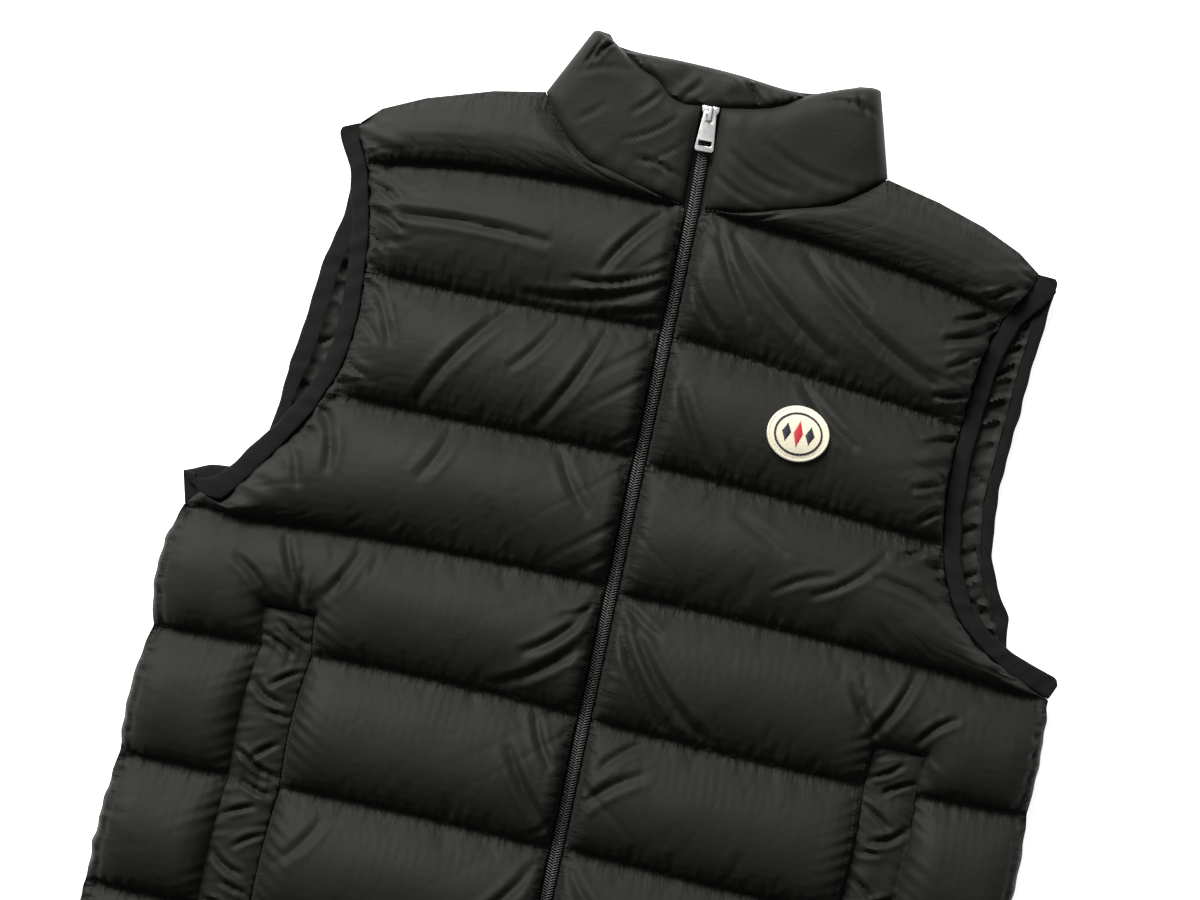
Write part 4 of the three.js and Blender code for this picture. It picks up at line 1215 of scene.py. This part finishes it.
def narrow(piece, axis, stops, shares):
    """Scales a piece's width by the shares given at stops, in millimetres, along one axis."""
    def change(p):
        p[:, 0] *= np.interp(p[:, axis], stops, shares)
        return p

    return reshape(piece, change)


def make_slider(name):
    """The slider: two plates held apart by a wedge, with a bridge over the upper one."""
    parts = []
    for low, high in ((12.5, 14.0), (18.4, 20.0)):
        plate = cut_at(add_block((-5.4, -5.8, low), (5.4, 4.4, high)), (0, 1, 0), (-1, 1.4))
        narrow(plate, 1, (-5.8, -1, 1.4, 4.4), (0.74, 0.74, 1, 1))
        subtract(plate, add_block((-0.9, 3.2, low - 1), (0.9, 6, high + 1)))
        parts.append(bevel(plate, 0.55, 3))
    wedge = cut_at(add_block((-1.9, -0.4, 13.6), (1.9, 3.0, 18.8)), (0, 1, 0), (1.2,))
    parts.append(bevel(narrow(wedge, 1, (-0.4, 3), (0.4, 1)), 0.3, 2))
    bridge = add_block((-1.5, -5.2, 19.4), (1.5, 3.6, 23.9))
    subtract(bridge, add_block((-3, -4.0, 18), (3, 2.4, 22.7)))
    parts.append(bevel(narrow(bridge, 2, (19.4, 22.7, 23.9), (1.15, 1, 0.8)), 0.5, 3))
    return to_slider(join(parts, name))


def make_pull(name):
    """The pull: a plate with a slot for the bar and a window near its lower end."""
    plate = cut_at(add_block((-6, -24, 20.5), (6, 0.9, 22.1)), (0, 1, 0), (-22.6, -16, -8, -0.6))
    narrow(plate, 1, (-24, -22.6, -0.6, 0.9), (4.9 / 6, 1, 4.0 / 6, 2.9 / 6))
    subtract(plate, add_block((-2.1, -6.2, 19), (2.1, -0.9, 24)))
    subtract(plate, add_block((-4, -20.6, 19), (4, -17.4, 24)))
    plate.name = plate.data.name = name
    return to_slider(bevel(plate, 0.42, 3))


def make_box(name):
    """The box at the zip's lower end, with a groove down its middle."""
    piece = bevel(add_block((-4.5, 0.2, 14.2), (4.5, 9, 18.4)), 0.9, 3)
    subtract(piece, add_block((-0.5, 2, 18.0), (0.5, 10, 19)))
    piece.name = piece.data.name = name
    return reshape(piece, lambda p: p + [ZIP_X, 0, 0] + SHIFT)


# Stitches
def stitch_template(length, thick):
    """One stitch of thread along X, rounded at its ends."""
    half = length / 2
    template = add_block((-half, -thick, -thick * 0.8), (half, thick, thick * 0.8))
    cut_at(template, (1, 0, 0), (-half * 0.5, half * 0.5))

    def dip(p):
        away = np.abs(p[:, 0]) / half
        p[:, 2] -= thick * 1.6 * np.clip(away - 0.5, 0, 1) ** 2 * 4
        p[:, 1] *= mix(1, 0.6, np.clip(away - 0.5, 0, 0.5) * 2)
        return p

    return bevel(reshape(template, dip), thick * 0.55, 1)


def stitch_places(line, pitch, lift):
    """Where stitches lie along a line of points, each turned along it."""
    line = np.asarray(line, float)
    total = run_length(line)[-1]
    count = max(2, int(total / pitch))
    shares = (np.arange(count) + 0.5) / count
    half = 0.3 * pitch / total
    places = []
    for middle, before, after in zip(*(along(line, np.clip(shares + d, 0, 1)) for d in (0, -half, half))):
        places.append(placed(middle + [0, 0, lift], after - before))
    return places


SEAM_PITCH, EDGE_PITCH = 3.4, 3.0
STITCH_LIFT = 0.1


def make_front_stitches(front, name):
    """The stitches of a front's seams, along its zip, and in two rows beside its pocket."""
    cloth = FRONTS[front.side]
    places = []
    for k in range(1, TOP_CHANNEL + 1):
        row = int(np.argmin(np.abs(cloth.rows - k)))
        places += stitch_places(cloth.grid[row, 3:-2], SEAM_PITCH, STITCH_LIFT)
    places += stitch_places(cloth.grid[4:, 1], EDGE_PITCH, STITCH_LIFT)
    rows = (cloth.rows > WELT_LOW) & (cloth.rows < WELT_HIGH)
    for distance in (1.4, 4.2):
        share = WELT_INNER - distance / FRONT_WIDTH
        line = [[np.interp(share, cloth.across, row[:, i]) for i in range(3)] for row in cloth.grid[rows]]
        places += stitch_places(line, EDGE_PITCH, STITCH_LIFT)
    return scatter(name, stitch_template(2.3, 0.28), places)


# Badge
BADGE_X, BADGE_Y = 94.0, 496.0
BADGE_HALF_WIDTH, BADGE_HALF_HEIGHT = 19.0, 17.0
BADGE_THREAD_Z = 1.95


class Seat:
    """A smooth surface that lies on the cloth under the badge."""

    def __init__(self, cloth):
        x, y, z = cloth.grid.reshape(-1, 3).T
        near = np.hypot((x - BADGE_X) / BADGE_HALF_WIDTH, (y - BADGE_Y) / BADGE_HALF_HEIGHT) < 1.08
        terms = self.terms(x[near], y[near])
        self.fit = np.linalg.lstsq(terms, z[near], rcond=None)[0]
        self.lift = float(np.percentile(z[near] - terms @ self.fit, 97)) + 0.2

    @staticmethod
    def terms(x, y):
        a, b = (x - BADGE_X) / 20, (y - BADGE_Y) / 20
        return np.stack([np.ones_like(a), a, b, a * a, a * b, b * b, b**3, a * a * b, a * b * b, a**3], -1)

    def height(self, x, y):
        return self.terms(x, y) @ self.fit + self.lift


def oval_line(half_width, half_height, height, count=180):
    """A closed line round the badge's middle, with its first point repeated at the end."""
    turn = np.linspace(0, 2 * np.pi, count + 1)
    x = BADGE_X + half_width * np.cos(turn)
    return np.stack([x, BADGE_Y + half_height * np.sin(turn), np.full(count + 1, height)], -1)


def lay_on(piece, seat):
    """Raises a piece modelled flat at height 0 by the height of the cloth under each point."""
    points = mesh_points(piece) / MM - SHIFT
    points[:, 2] += seat.height(points[:, 0], points[:, 1])
    piece.data.vertices.foreach_set("co", (in_frame(points)).ravel())
    piece.data.update()
    return piece


# The felt's section, from its middle over the edge and back: distance out from the edge, and height
FELT = (
    *((out, 1.75) for out in (-16.5, -14, -10, -6, -3)), (-1.2, 1.7), (-0.35, 1.35), (0, 0.8), (-0.2, 0.3),
    *((out, 0.1) for out in (-1, -4, -10, -16.5)),
)


def make_badge_patch(name, seat):
    """The badge's felt, with a rounded edge."""
    sizes = [(BADGE_HALF_WIDTH + out, BADGE_HALF_HEIGHT + out, height) for out, height in FELT]
    rings = np.array([oval_line(*size, 96)[:-1] for size in sizes])
    index, faces = ring_wall(rings)
    faces += [index[0].tolist(), index[-1][::-1].tolist()]
    return lay_on(face_out(new_object(name, rings.reshape(-1, 3), faces)), seat)


def make_badge_border(name, seat):
    """Overlocked thread round the badge's edge: short slanting stitches that wrap it."""
    line = oval_line(BADGE_HALF_WIDTH - 0.9, BADGE_HALF_HEIGHT - 0.9, 1.62)
    places = []
    for point, after in zip(line, line[1:]):
        run = (after - point) / np.linalg.norm(after - point)
        places.append(placed(point + [0, 0, STITCH_LIFT], [run[1], -run[0], 0] + 0.35 * run))
    return lay_on(scatter(name, stitch_template(2.2, 0.34), places), seat)


def make_badge_ring(name, seat):
    """A ring of thread inside the badge's border."""
    places = stitch_places(oval_line(14.2, 12.4, BADGE_THREAD_Z), 1.25, 0)
    return lay_on(scatter(name, stitch_template(1.7, 0.6), places), seat)


def make_diamond(name, seat, x, y, half_width, half_height):
    """A satin-stitched diamond: rows of thread side by side."""
    places = []
    rows = int(2 * half_height / 0.52)
    for i in range(rows):
        t = (i + 0.5) / rows * 2 - 1
        here = (x, y + t * half_height, BADGE_THREAD_Z)
        places.append(stretched(max(half_width * (1 - abs(t)), 0.25), here))
    return lay_on(scatter(name, stitch_template(2.0, 0.3), places), seat)


# Materials
def add_node(tree, kind, **values):
    """A node with its settings and inputs; an output given for an input is linked to it."""
    node = tree.nodes.new(kind)
    for name, value in values.items():
        label = name.replace("_", " ")
        if label not in node.inputs:
            setattr(node, name, value)
        elif isinstance(value, bpy.types.NodeSocket):
            tree.links.new(value, node.inputs[label])
        else:
            node.inputs[label].default_value = value
    return node


def product(tree, a, b):
    """An output that holds the product of two others."""
    node = add_node(tree, "ShaderNodeMath", operation="MULTIPLY", Value=a)
    tree.links.new(b, node.inputs[1])
    return node.outputs[0]


def new_group(name, outputs, **inputs):
    """A node group that reads a position and the given inputs, and the sockets at its two ends."""
    group = bpy.data.node_groups.new(name, "ShaderNodeTree")
    kinds = {"Position": "Vector", "Dark": "Color", "Light": "Color", "Colour": "Color"}
    sockets = [("INPUT", label, value) for label, value in {"Position": None, **inputs}.items()]
    sockets += [("OUTPUT", label, None) for label in outputs]
    for way, label, value in sockets:
        kind = "NodeSocket" + kinds.get(label, "Float")
        socket = group.interface.new_socket(label, in_out=way, socket_type=kind)
        if value is not None:
            socket.default_value = value
    return group, group.nodes.new("NodeGroupInput").outputs, group.nodes.new("NodeGroupOutput").inputs


def weave_group():
    """Threads over and under each other: a height from Object coordinates."""
    if "Plain weave" in bpy.data.node_groups:
        return bpy.data.node_groups["Plain weave"]
    group, given, out = new_group("Plain weave", ["Height"], Scale=600.0)
    warp, weft = (
        add_node(
            group, "ShaderNodeTexWave", bands_direction=way, Distortion=0.6, Detail=1.0,
            Vector=given["Position"], Scale=given["Scale"],
        )
        for way in "XY"
    )
    group.links.new(product(group, warp.outputs["Fac"], weft.outputs["Fac"]), out["Height"])
    return group


def tone_group():
    """Uneven colour and gloss over a surface, between two colours."""
    if "Uneven tone" in bpy.data.node_groups:
        return bpy.data.node_groups["Uneven tone"]
    group, given, out = new_group(
        "Uneven tone", ["Colour", "Roughness"], Scale=18.0, Dark=None, Light=None, Smooth=0.45, Rough=0.6,
    )
    cloud = add_node(
        group, "ShaderNodeTexNoise", Detail=5.0, Roughness=0.6, Vector=given["Position"],
        Scale=given["Scale"],
    )
    spread = add_node(group, "ShaderNodeMapRange", From_Min=0.3, From_Max=0.7, Value=cloud.outputs["Fac"])
    share = spread.outputs["Result"]
    colour = add_node(
        group, "ShaderNodeMix", data_type="RGBA", Factor=share, A=given["Dark"], B=given["Light"],
    )
    rough = add_node(
        group, "ShaderNodeMapRange", Value=share, To_Min=given["Smooth"], To_Max=given["Rough"],
    )
    group.links.new(colour.outputs["Result"], out["Colour"])
    group.links.new(rough.outputs["Result"], out["Roughness"])
    return group


def crinkle_group():
    """Small soft creases and the fine grain of crumpled cloth: a height."""
    if "Crinkle" in bpy.data.node_groups:
        return bpy.data.node_groups["Crinkle"]
    group, given, out = new_group("Crinkle", ["Height"], Scale=120.0)
    fold = add_node(
        group, "ShaderNodeTexNoise", Detail=3.0, Roughness=0.55, Distortion=0.8, Vector=given["Position"],
        Scale=given["Scale"],
    )
    group.links.new(fold.outputs["Fac"], out["Height"])
    return group


def toned_material(name, dark, light, smooth, rough, scale):
    """A new material of uneven tone, with its nodes, its shader's inputs and the piece's coordinates."""
    material = bpy.data.materials.new(name)
    material.use_nodes = True
    tree = material.node_tree
    shader = tree.nodes["Principled BSDF"].inputs
    position = add_node(tree, "ShaderNodeTexCoord").outputs["Object"]
    tone = add_node(
        tree, "ShaderNodeGroup", node_tree=tone_group(), Position=position, Scale=scale, Dark=(*dark, 1),
        Light=(*light, 1), Smooth=smooth, Rough=rough,
    )
    tree.links.new(tone.outputs["Colour"], shader["Base Color"])
    tree.links.new(tone.outputs["Roughness"], shader["Roughness"])
    return material, tree, shader, position


def bumped(tree, height, depth):
    """A bump node that raises a surface by a height times a depth in millimetres."""
    return add_node(tree, "ShaderNodeBump", Strength=1.0, Distance=depth * MM, Height=height)


def grain_of(tree, group, position, scale, depth):
    """A bump node that reads one of the groups above."""
    node = add_node(tree, "ShaderNodeGroup", node_tree=group, Position=position, Scale=scale)
    return bumped(tree, node.outputs["Height"], depth)


def cloth_material(name, dark, light, rough, weave, weave_depth, crinkle, crinkle_depth, specular):
    """Woven cloth: uneven tone, a fine weave and small creases."""
    material, tree, shader, position = toned_material(name, dark, light, *rough, 16.0)
    fine = grain_of(tree, weave_group(), position, weave, weave_depth)
    coarse = grain_of(tree, crinkle_group(), position, crinkle, crinkle_depth)
    tree.links.new(coarse.outputs["Normal"], fine.inputs["Normal"])
    tree.links.new(fine.outputs["Normal"], shader["Normal"])
    shader["Specular IOR Level"].default_value = specular
    return material


def simple_material(name, colour, roughness, grain, metallic=0.0, depth=0.02):
    """A plain finish with a little grain: metal, moulded nylon or thread."""
    dark = [c * 0.88 for c in colour]
    material, tree, shader, position = toned_material(
        name, dark, colour, roughness * 0.85, roughness * 1.15, grain / 4,
    )
    shader["Metallic"].default_value = metallic
    bump = grain_of(tree, crinkle_group(), position, grain, depth)
    tree.links.new(bump.outputs["Normal"], shader["Normal"])
    return material


def thread_material(name, colour, roughness):
    if name in bpy.data.materials:
        return bpy.data.materials[name]
    return simple_material(name, colour, roughness, grain=2200.0)


def add_puckers(tree):
    """Puckers of sewn cloth, across each seam and each edge, where the piece's own values ask for them."""
    shader = tree.nodes["Principled BSDF"].inputs
    normal = shader["Normal"].links[0].from_socket
    position = add_node(tree, "ShaderNodeTexCoord").outputs["Object"]
    for name, stretch in (("seam", (260, 60, 60)), ("edge", (60, 260, 60))):
        mapping = add_node(tree, "ShaderNodeMapping", Scale=stretch, Vector=position)
        streaks = add_node(
            tree, "ShaderNodeTexNoise", Scale=1.0, Detail=2.0, Roughness=0.5, Distortion=0.4,
            Vector=mapping.outputs["Vector"],
        )
        amount = add_node(tree, "ShaderNodeAttribute", attribute_name=name)
        bump = bumped(tree, product(tree, streaks.outputs["Fac"], amount.outputs["Fac"]), 4.5)
        tree.links.new(normal, bump.inputs["Normal"])
        normal = bump.outputs["Normal"]
    tree.links.new(normal, shader["Normal"])


def shell_material():
    if "shell nylon" in bpy.data.materials:
        return bpy.data.materials["shell nylon"]
    colour = bpy.context.scene.vest_cloth.colour
    dark = [c * 0.86 for c in colour]
    material = cloth_material("shell nylon", dark, colour, (0.6, 0.68), 620.0, 0.03, 90.0, 0.35, 0.15)
    shader = material.node_tree.nodes["Principled BSDF"].inputs
    shader["Sheen Weight"].default_value = 0.03
    shader["Sheen Roughness"].default_value = 0.4
    add_puckers(material.node_tree)
    return material


# Settings
def number(name, description, default, low, high):
    return FloatProperty(name=name, description=description, default=default, min=low, max=high)


class ClothSettings(bpy.types.PropertyGroup):
    """The shell cloth and its filling"""

    colour: FloatVectorProperty(
        name="Shell colour", description="Colour of the nylon shell", subtype="COLOR",
        default=(0.0128, 0.0126, 0.0105), min=0, max=1,
    )
    grid_step: number("Cloth grid", "Spacing of the simulated cloth's points, in mm", 3.0, 2, 8)
    pressure: number("Pressure", "How hard the down presses", 2.0, 0, 20)
    ease: number("Ease", "Extra cloth as a share of its length", 0.006, 0, 0.2)
    bending: number("Stiffness", "How stiff the cloth is to bend", 2.0, 0, 50)
    cap: number("Reach", "How far a point may move, in mm", 9.0, 0, 30)
    frames: IntProperty(
        name="Frames", description="Frames that the cloth settles for", default=18, min=2, max=60,
    )


class StageSettings(bpy.types.PropertyGroup):
    """Camera, floor and lights"""

    turn: FloatProperty(
        name="Turn", description="How far the vest is turned in the picture", subtype="ANGLE",
        default=math.radians(12.04),
    )
    across: FloatProperty(
        name="Width", description="Width of the view at the vest", unit="LENGTH", default=0.7344,
    )
    lens: number("Lens", "Focal length of the camera, in mm", 85.0, 20, 300)


def finish_shell(piece, node, degrees=60):
    """Finishes a piece of shell cloth with down in it."""
    finish_piece(smooth(piece, degrees), shell_material(), "shell_cloth", node)


class VEST_OT_stage(bpy.types.Operator):
    """Make the floor, the lights and the camera"""

    bl_idname = "vest.stage"
    bl_label = "Stage"

    def execute(self, context):
        make_stage(context.scene, context.scene.vest_stage)
        return {"FINISHED"}


class VEST_OT_fronts(bpy.types.Operator):
    """Make the two padded fronts"""

    bl_idname = "vest.fronts"
    bl_label = "Fronts"

    def execute(self, context):
        for front, name in ((RIGHT, "front_right"), (LEFT, "front_left")):
            finish_shell(make_front(front, f"{name}_cloth", context.scene.vest_cloth), name)
        return {"FINISHED"}


class VEST_OT_welts(bpy.types.Operator):
    """Make the padded welt over each pocket"""

    bl_idname = "vest.welts"
    bl_label = "Pocket welts"

    def execute(self, context):
        for front, name in ((RIGHT, "pocket_welt_right"), (LEFT, "pocket_welt_left")):
            finish_shell(make_welt(front, f"{name}_cloth"), name)
        return {"FINISHED"}


class VEST_OT_back(bpy.types.Operator):
    """Make the padded back"""

    bl_idname = "vest.back"
    bl_label = "Back"

    def execute(self, context):
        finish_shell(make_back("back_cloth"), "back_panel", 50)
        return {"FINISHED"}


class VEST_OT_collar(bpy.types.Operator):
    """Make the padded stand collar"""

    bl_idname = "vest.collar"
    bl_label = "Collar"

    def execute(self, context):
        finish_shell(make_collar("collar_cloth"), "collar")
        return {"FINISHED"}


class VEST_OT_bindings(bpy.types.Operator):
    """Make the tape round each armhole"""

    bl_idname = "vest.bindings"
    bl_label = "Armhole bindings"

    def execute(self, context):
        cloth = cloth_material(
            "binding tape", (0.0055, 0.0052, 0.005), (0.0085, 0.008, 0.0078), (0.75, 0.85), 330.0, 0.25,
            420.0, 0.3, 0.15,
        )
        rows = (
            ("front_right", RIGHT, 1, -1, 5, FRONT_RIGHT_TAPE, "front_right"),
            ("front_left", LEFT, 1, 1, 1, FRONT_LEFT_TAPE, "front_left"),
            ("back_right", BACK, 0, -1, -10, BACK_RIGHT_TAPE, "back_panel"),
            ("back_left", BACK, 1, 1, 0, BACK_LEFT_TAPE, "back_panel"),
        )
        for i, (place, pattern, u, out, lean, table, on) in enumerate(rows):
            name = f"binding_{place}"
            heights = (10.5, 12.8) if pattern is BACK else (14.0, 16.6)
            piece, length, area = make_binding(
                f"{name}_tape", binding_line(pattern, u), out, *heights, lean, table, 401 + 7 * i,
            )
            finish_piece(smooth(piece, 50), cloth, "binding_tape", name)
            flat, area = (TAPE_WIDTH * MM, length * MM), min(area, TAPE_WIDTH * length) * MM * MM
        return {"FINISHED"}


class VEST_OT_zip(bpy.types.Operator):
    """Make the zip's tapes, coil, slider, pull and box"""

    bl_idname = "vest.zip"
    bl_label = "Zip"

    def execute(self, context):
        woven = cloth_material(
            "zip tape", (0.0035, 0.0035, 0.0035), (0.005, 0.005, 0.005), (0.8, 0.9), 420.0, 0.12,
            300.0, 0.05, 0.08,
        )
        for name, side in (("zip_tape_right", -1), ("zip_tape_left", 1)):
            piece = smooth(make_zip_tape(f"{name}_cloth", side), 40)
            finish_piece(piece, woven, "zip_tape", name)
        coil = simple_material("nylon coil", (0.09, 0.09, 0.086), 0.34, grain=1500.0)
        finish_piece(smooth(make_teeth("zip_teeth"), 45), coil, "zip_teeth", "zip_chain")
        metal = simple_material(
            "polished nickel", (0.9, 0.88, 0.87), 0.28, metallic=0.91, grain=900.0, depth=0.01,
        )
        parts = (("slider", make_slider, BODY), ("pull", make_pull, PULL_BODY), ("box", make_box, BODY))
        for part, make, body in parts:
            piece = smooth(make(f"zip_{part}_metal"), 35)
            finish_piece(piece, metal, "zip_metal", f"zip_{part}", body=body)
        return {"FINISHED"}


class VEST_OT_badge(bpy.types.Operator):
    """Make the stitched badge on the chest"""

    bl_idname = "vest.badge"
    bl_label = "Badge"

    def execute(self, context):
        seat = Seat(FRONTS[1])
        felt = cloth_material(
            "felt", (0.60, 0.55, 0.40), (0.72, 0.68, 0.54), (0.85, 0.95), 500.0, 0.05, 900.0, 0.25, 0.2,
        )
        patch = smooth(make_badge_patch("badge_felt", seat), 50)
        finish_piece(patch, felt, "badge_felt", "badge")
        cream = thread_material("cream thread", (0.74, 0.70, 0.56), 0.6)
        navy = thread_material("navy thread", (0.012, 0.014, 0.03), 0.55)
        red = thread_material("red thread", (0.50, 0.02, 0.035), 0.55)
        border, ring = make_badge_border("badge_border", seat), make_badge_ring("badge_ring", seat)
        pieces = [(border, cream), (ring, navy)]
        diamonds = (("left", -7.2, 5.6, navy), ("middle", 0, 8.0, red), ("right", 7.2, 5.6, navy))
        for side, x, half_height, thread in diamonds:
            name = f"badge_diamond_{side}"
            pieces.append((make_diamond(name, seat, BADGE_X + x, BADGE_Y, 3.4, half_height), thread))
        for piece, thread in pieces:
            finish_piece(smooth(piece, 60), thread, "badge_felt")
        return {"FINISHED"}


class VEST_OT_stitching(bpy.types.Operator):
    """Sew the seams of the fronts and the welts"""

    bl_idname = "vest.stitching"
    bl_label = "Stitching"

    def execute(self, context):
        # Black thread, coloured darker than the shell cloth: partly its own colour, partly painted shade
        # standing in for the shaded puckers along the stitched seams.
        thread = thread_material("thread", (0.005, 0.005, 0.005), 0.8)
        for front, side in ((RIGHT, "right"), (LEFT, "left")):
            piece = smooth(make_front_stitches(front, f"stitches_{side}"), 60)
            finish_piece(piece, thread, "binding_tape")
        return {"FINISHED"}


class VEST_PT_panel(bpy.types.Panel):
    """The vest's pieces and sizes"""

    bl_idname = "VEST_PT_panel"
    bl_label = "Puffer vest"
    bl_space_type = "VIEW_3D"
    bl_region_type = "UI"
    bl_category = "Vest"

    def draw(self, context):
        for settings in (context.scene.vest_cloth, context.scene.vest_stage):
            for name in settings.__annotations__:
                self.layout.prop(settings, name)
        for operator in OPERATORS:
            self.layout.operator(operator.bl_idname)


PICTURE_CENTRE = (-21.0, 461.5)
CLOTH_HEIGHT = 17.0


def aimed_light(name, place, target, size, power):
    data = bpy.data.lights.new(name, "AREA")
    data.shape = "RECTANGLE"
    data.size, data.size_y = size
    data.energy = power
    lamp = add_object(name, data)
    lamp.location = place
    lamp.rotation_euler = (Vector(target) - Vector(place)).to_track_quat("-Z", "Y").to_euler()


def make_stage(scene, stage):
    deselect()
    x, y, z = in_frame((*PICTURE_CENTRE, CLOTH_HEIGHT))
    camera = bpy.data.cameras.new("camera")
    camera.lens = stage.lens
    camera.sensor_width = 36
    camera.clip_end = 30
    view = scene.camera = add_object("camera", camera)
    view.location = (x, y, z + stage.across * stage.lens / camera.sensor_width)
    view.rotation_euler = (0, 0, stage.turn)
    bpy.ops.mesh.primitive_plane_add(size=14, location=(0, 0, -0.0006))
    floor = bpy.context.object
    floor.name = "floor"
    bpy.ops.object.transform_apply(location=True)
    floor.data.materials.append(simple_material("floor", (0.93, 0.93, 0.93), 0.8, grain=200.0))
    shader = floor.data.materials[0].node_tree.nodes["Principled BSDF"].inputs
    shader["Emission Color"].default_value = (1, 1, 1, 1)
    shader["Emission Strength"].default_value = 0.84
    up = Vector((-math.sin(stage.turn), math.cos(stage.turn), 0))
    right = Vector((math.cos(stage.turn), math.sin(stage.turn), 0))
    target = Vector((x, y, 0))
    aimed_light("key", target + up * 1.65 - right * 0.65 + Vector((0, 0, 1.55)), target, (1.8, 0.8), 124)
    aimed_light("fill", target + Vector((0, 0, 2.6)), target, (3.0, 3.0), 8)
    scene.world = bpy.data.worlds.new("studio")
    scene.world.use_nodes = True
    background = scene.world.node_tree.nodes["Background"].inputs
    background["Color"].default_value = (1, 1, 1, 1)
    background["Strength"].default_value = 0.115
    scene.view_settings.view_transform = "Standard"


# In the order that the pieces are made
OPERATORS = (
    VEST_OT_stage, VEST_OT_fronts, VEST_OT_welts, VEST_OT_back, VEST_OT_collar, VEST_OT_bindings,
    VEST_OT_zip, VEST_OT_badge, VEST_OT_stitching,
)
CLASSES = (ClothSettings, StageSettings, *OPERATORS, VEST_PT_panel)


def register():
    for cls in CLASSES:
        bpy.utils.register_class(cls)
    bpy.types.Scene.vest_cloth = PointerProperty(type=ClothSettings)
    bpy.types.Scene.vest_stage = PointerProperty(type=StageSettings)


def unregister():
    del bpy.types.Scene.vest_stage
    del bpy.types.Scene.vest_cloth
    for cls in reversed(CLASSES):
        bpy.utils.unregister_class(cls)


def main():
    register()
    bpy.ops.vest.stage()
    bpy.ops.vest.fronts()
    bpy.ops.vest.welts()
    bpy.ops.vest.back()
    bpy.ops.vest.collar()
    bpy.ops.vest.bindings()
    bpy.ops.vest.zip()
    bpy.ops.vest.badge()
    bpy.ops.vest.stitching()


if __name__ == "__main__":
    main()
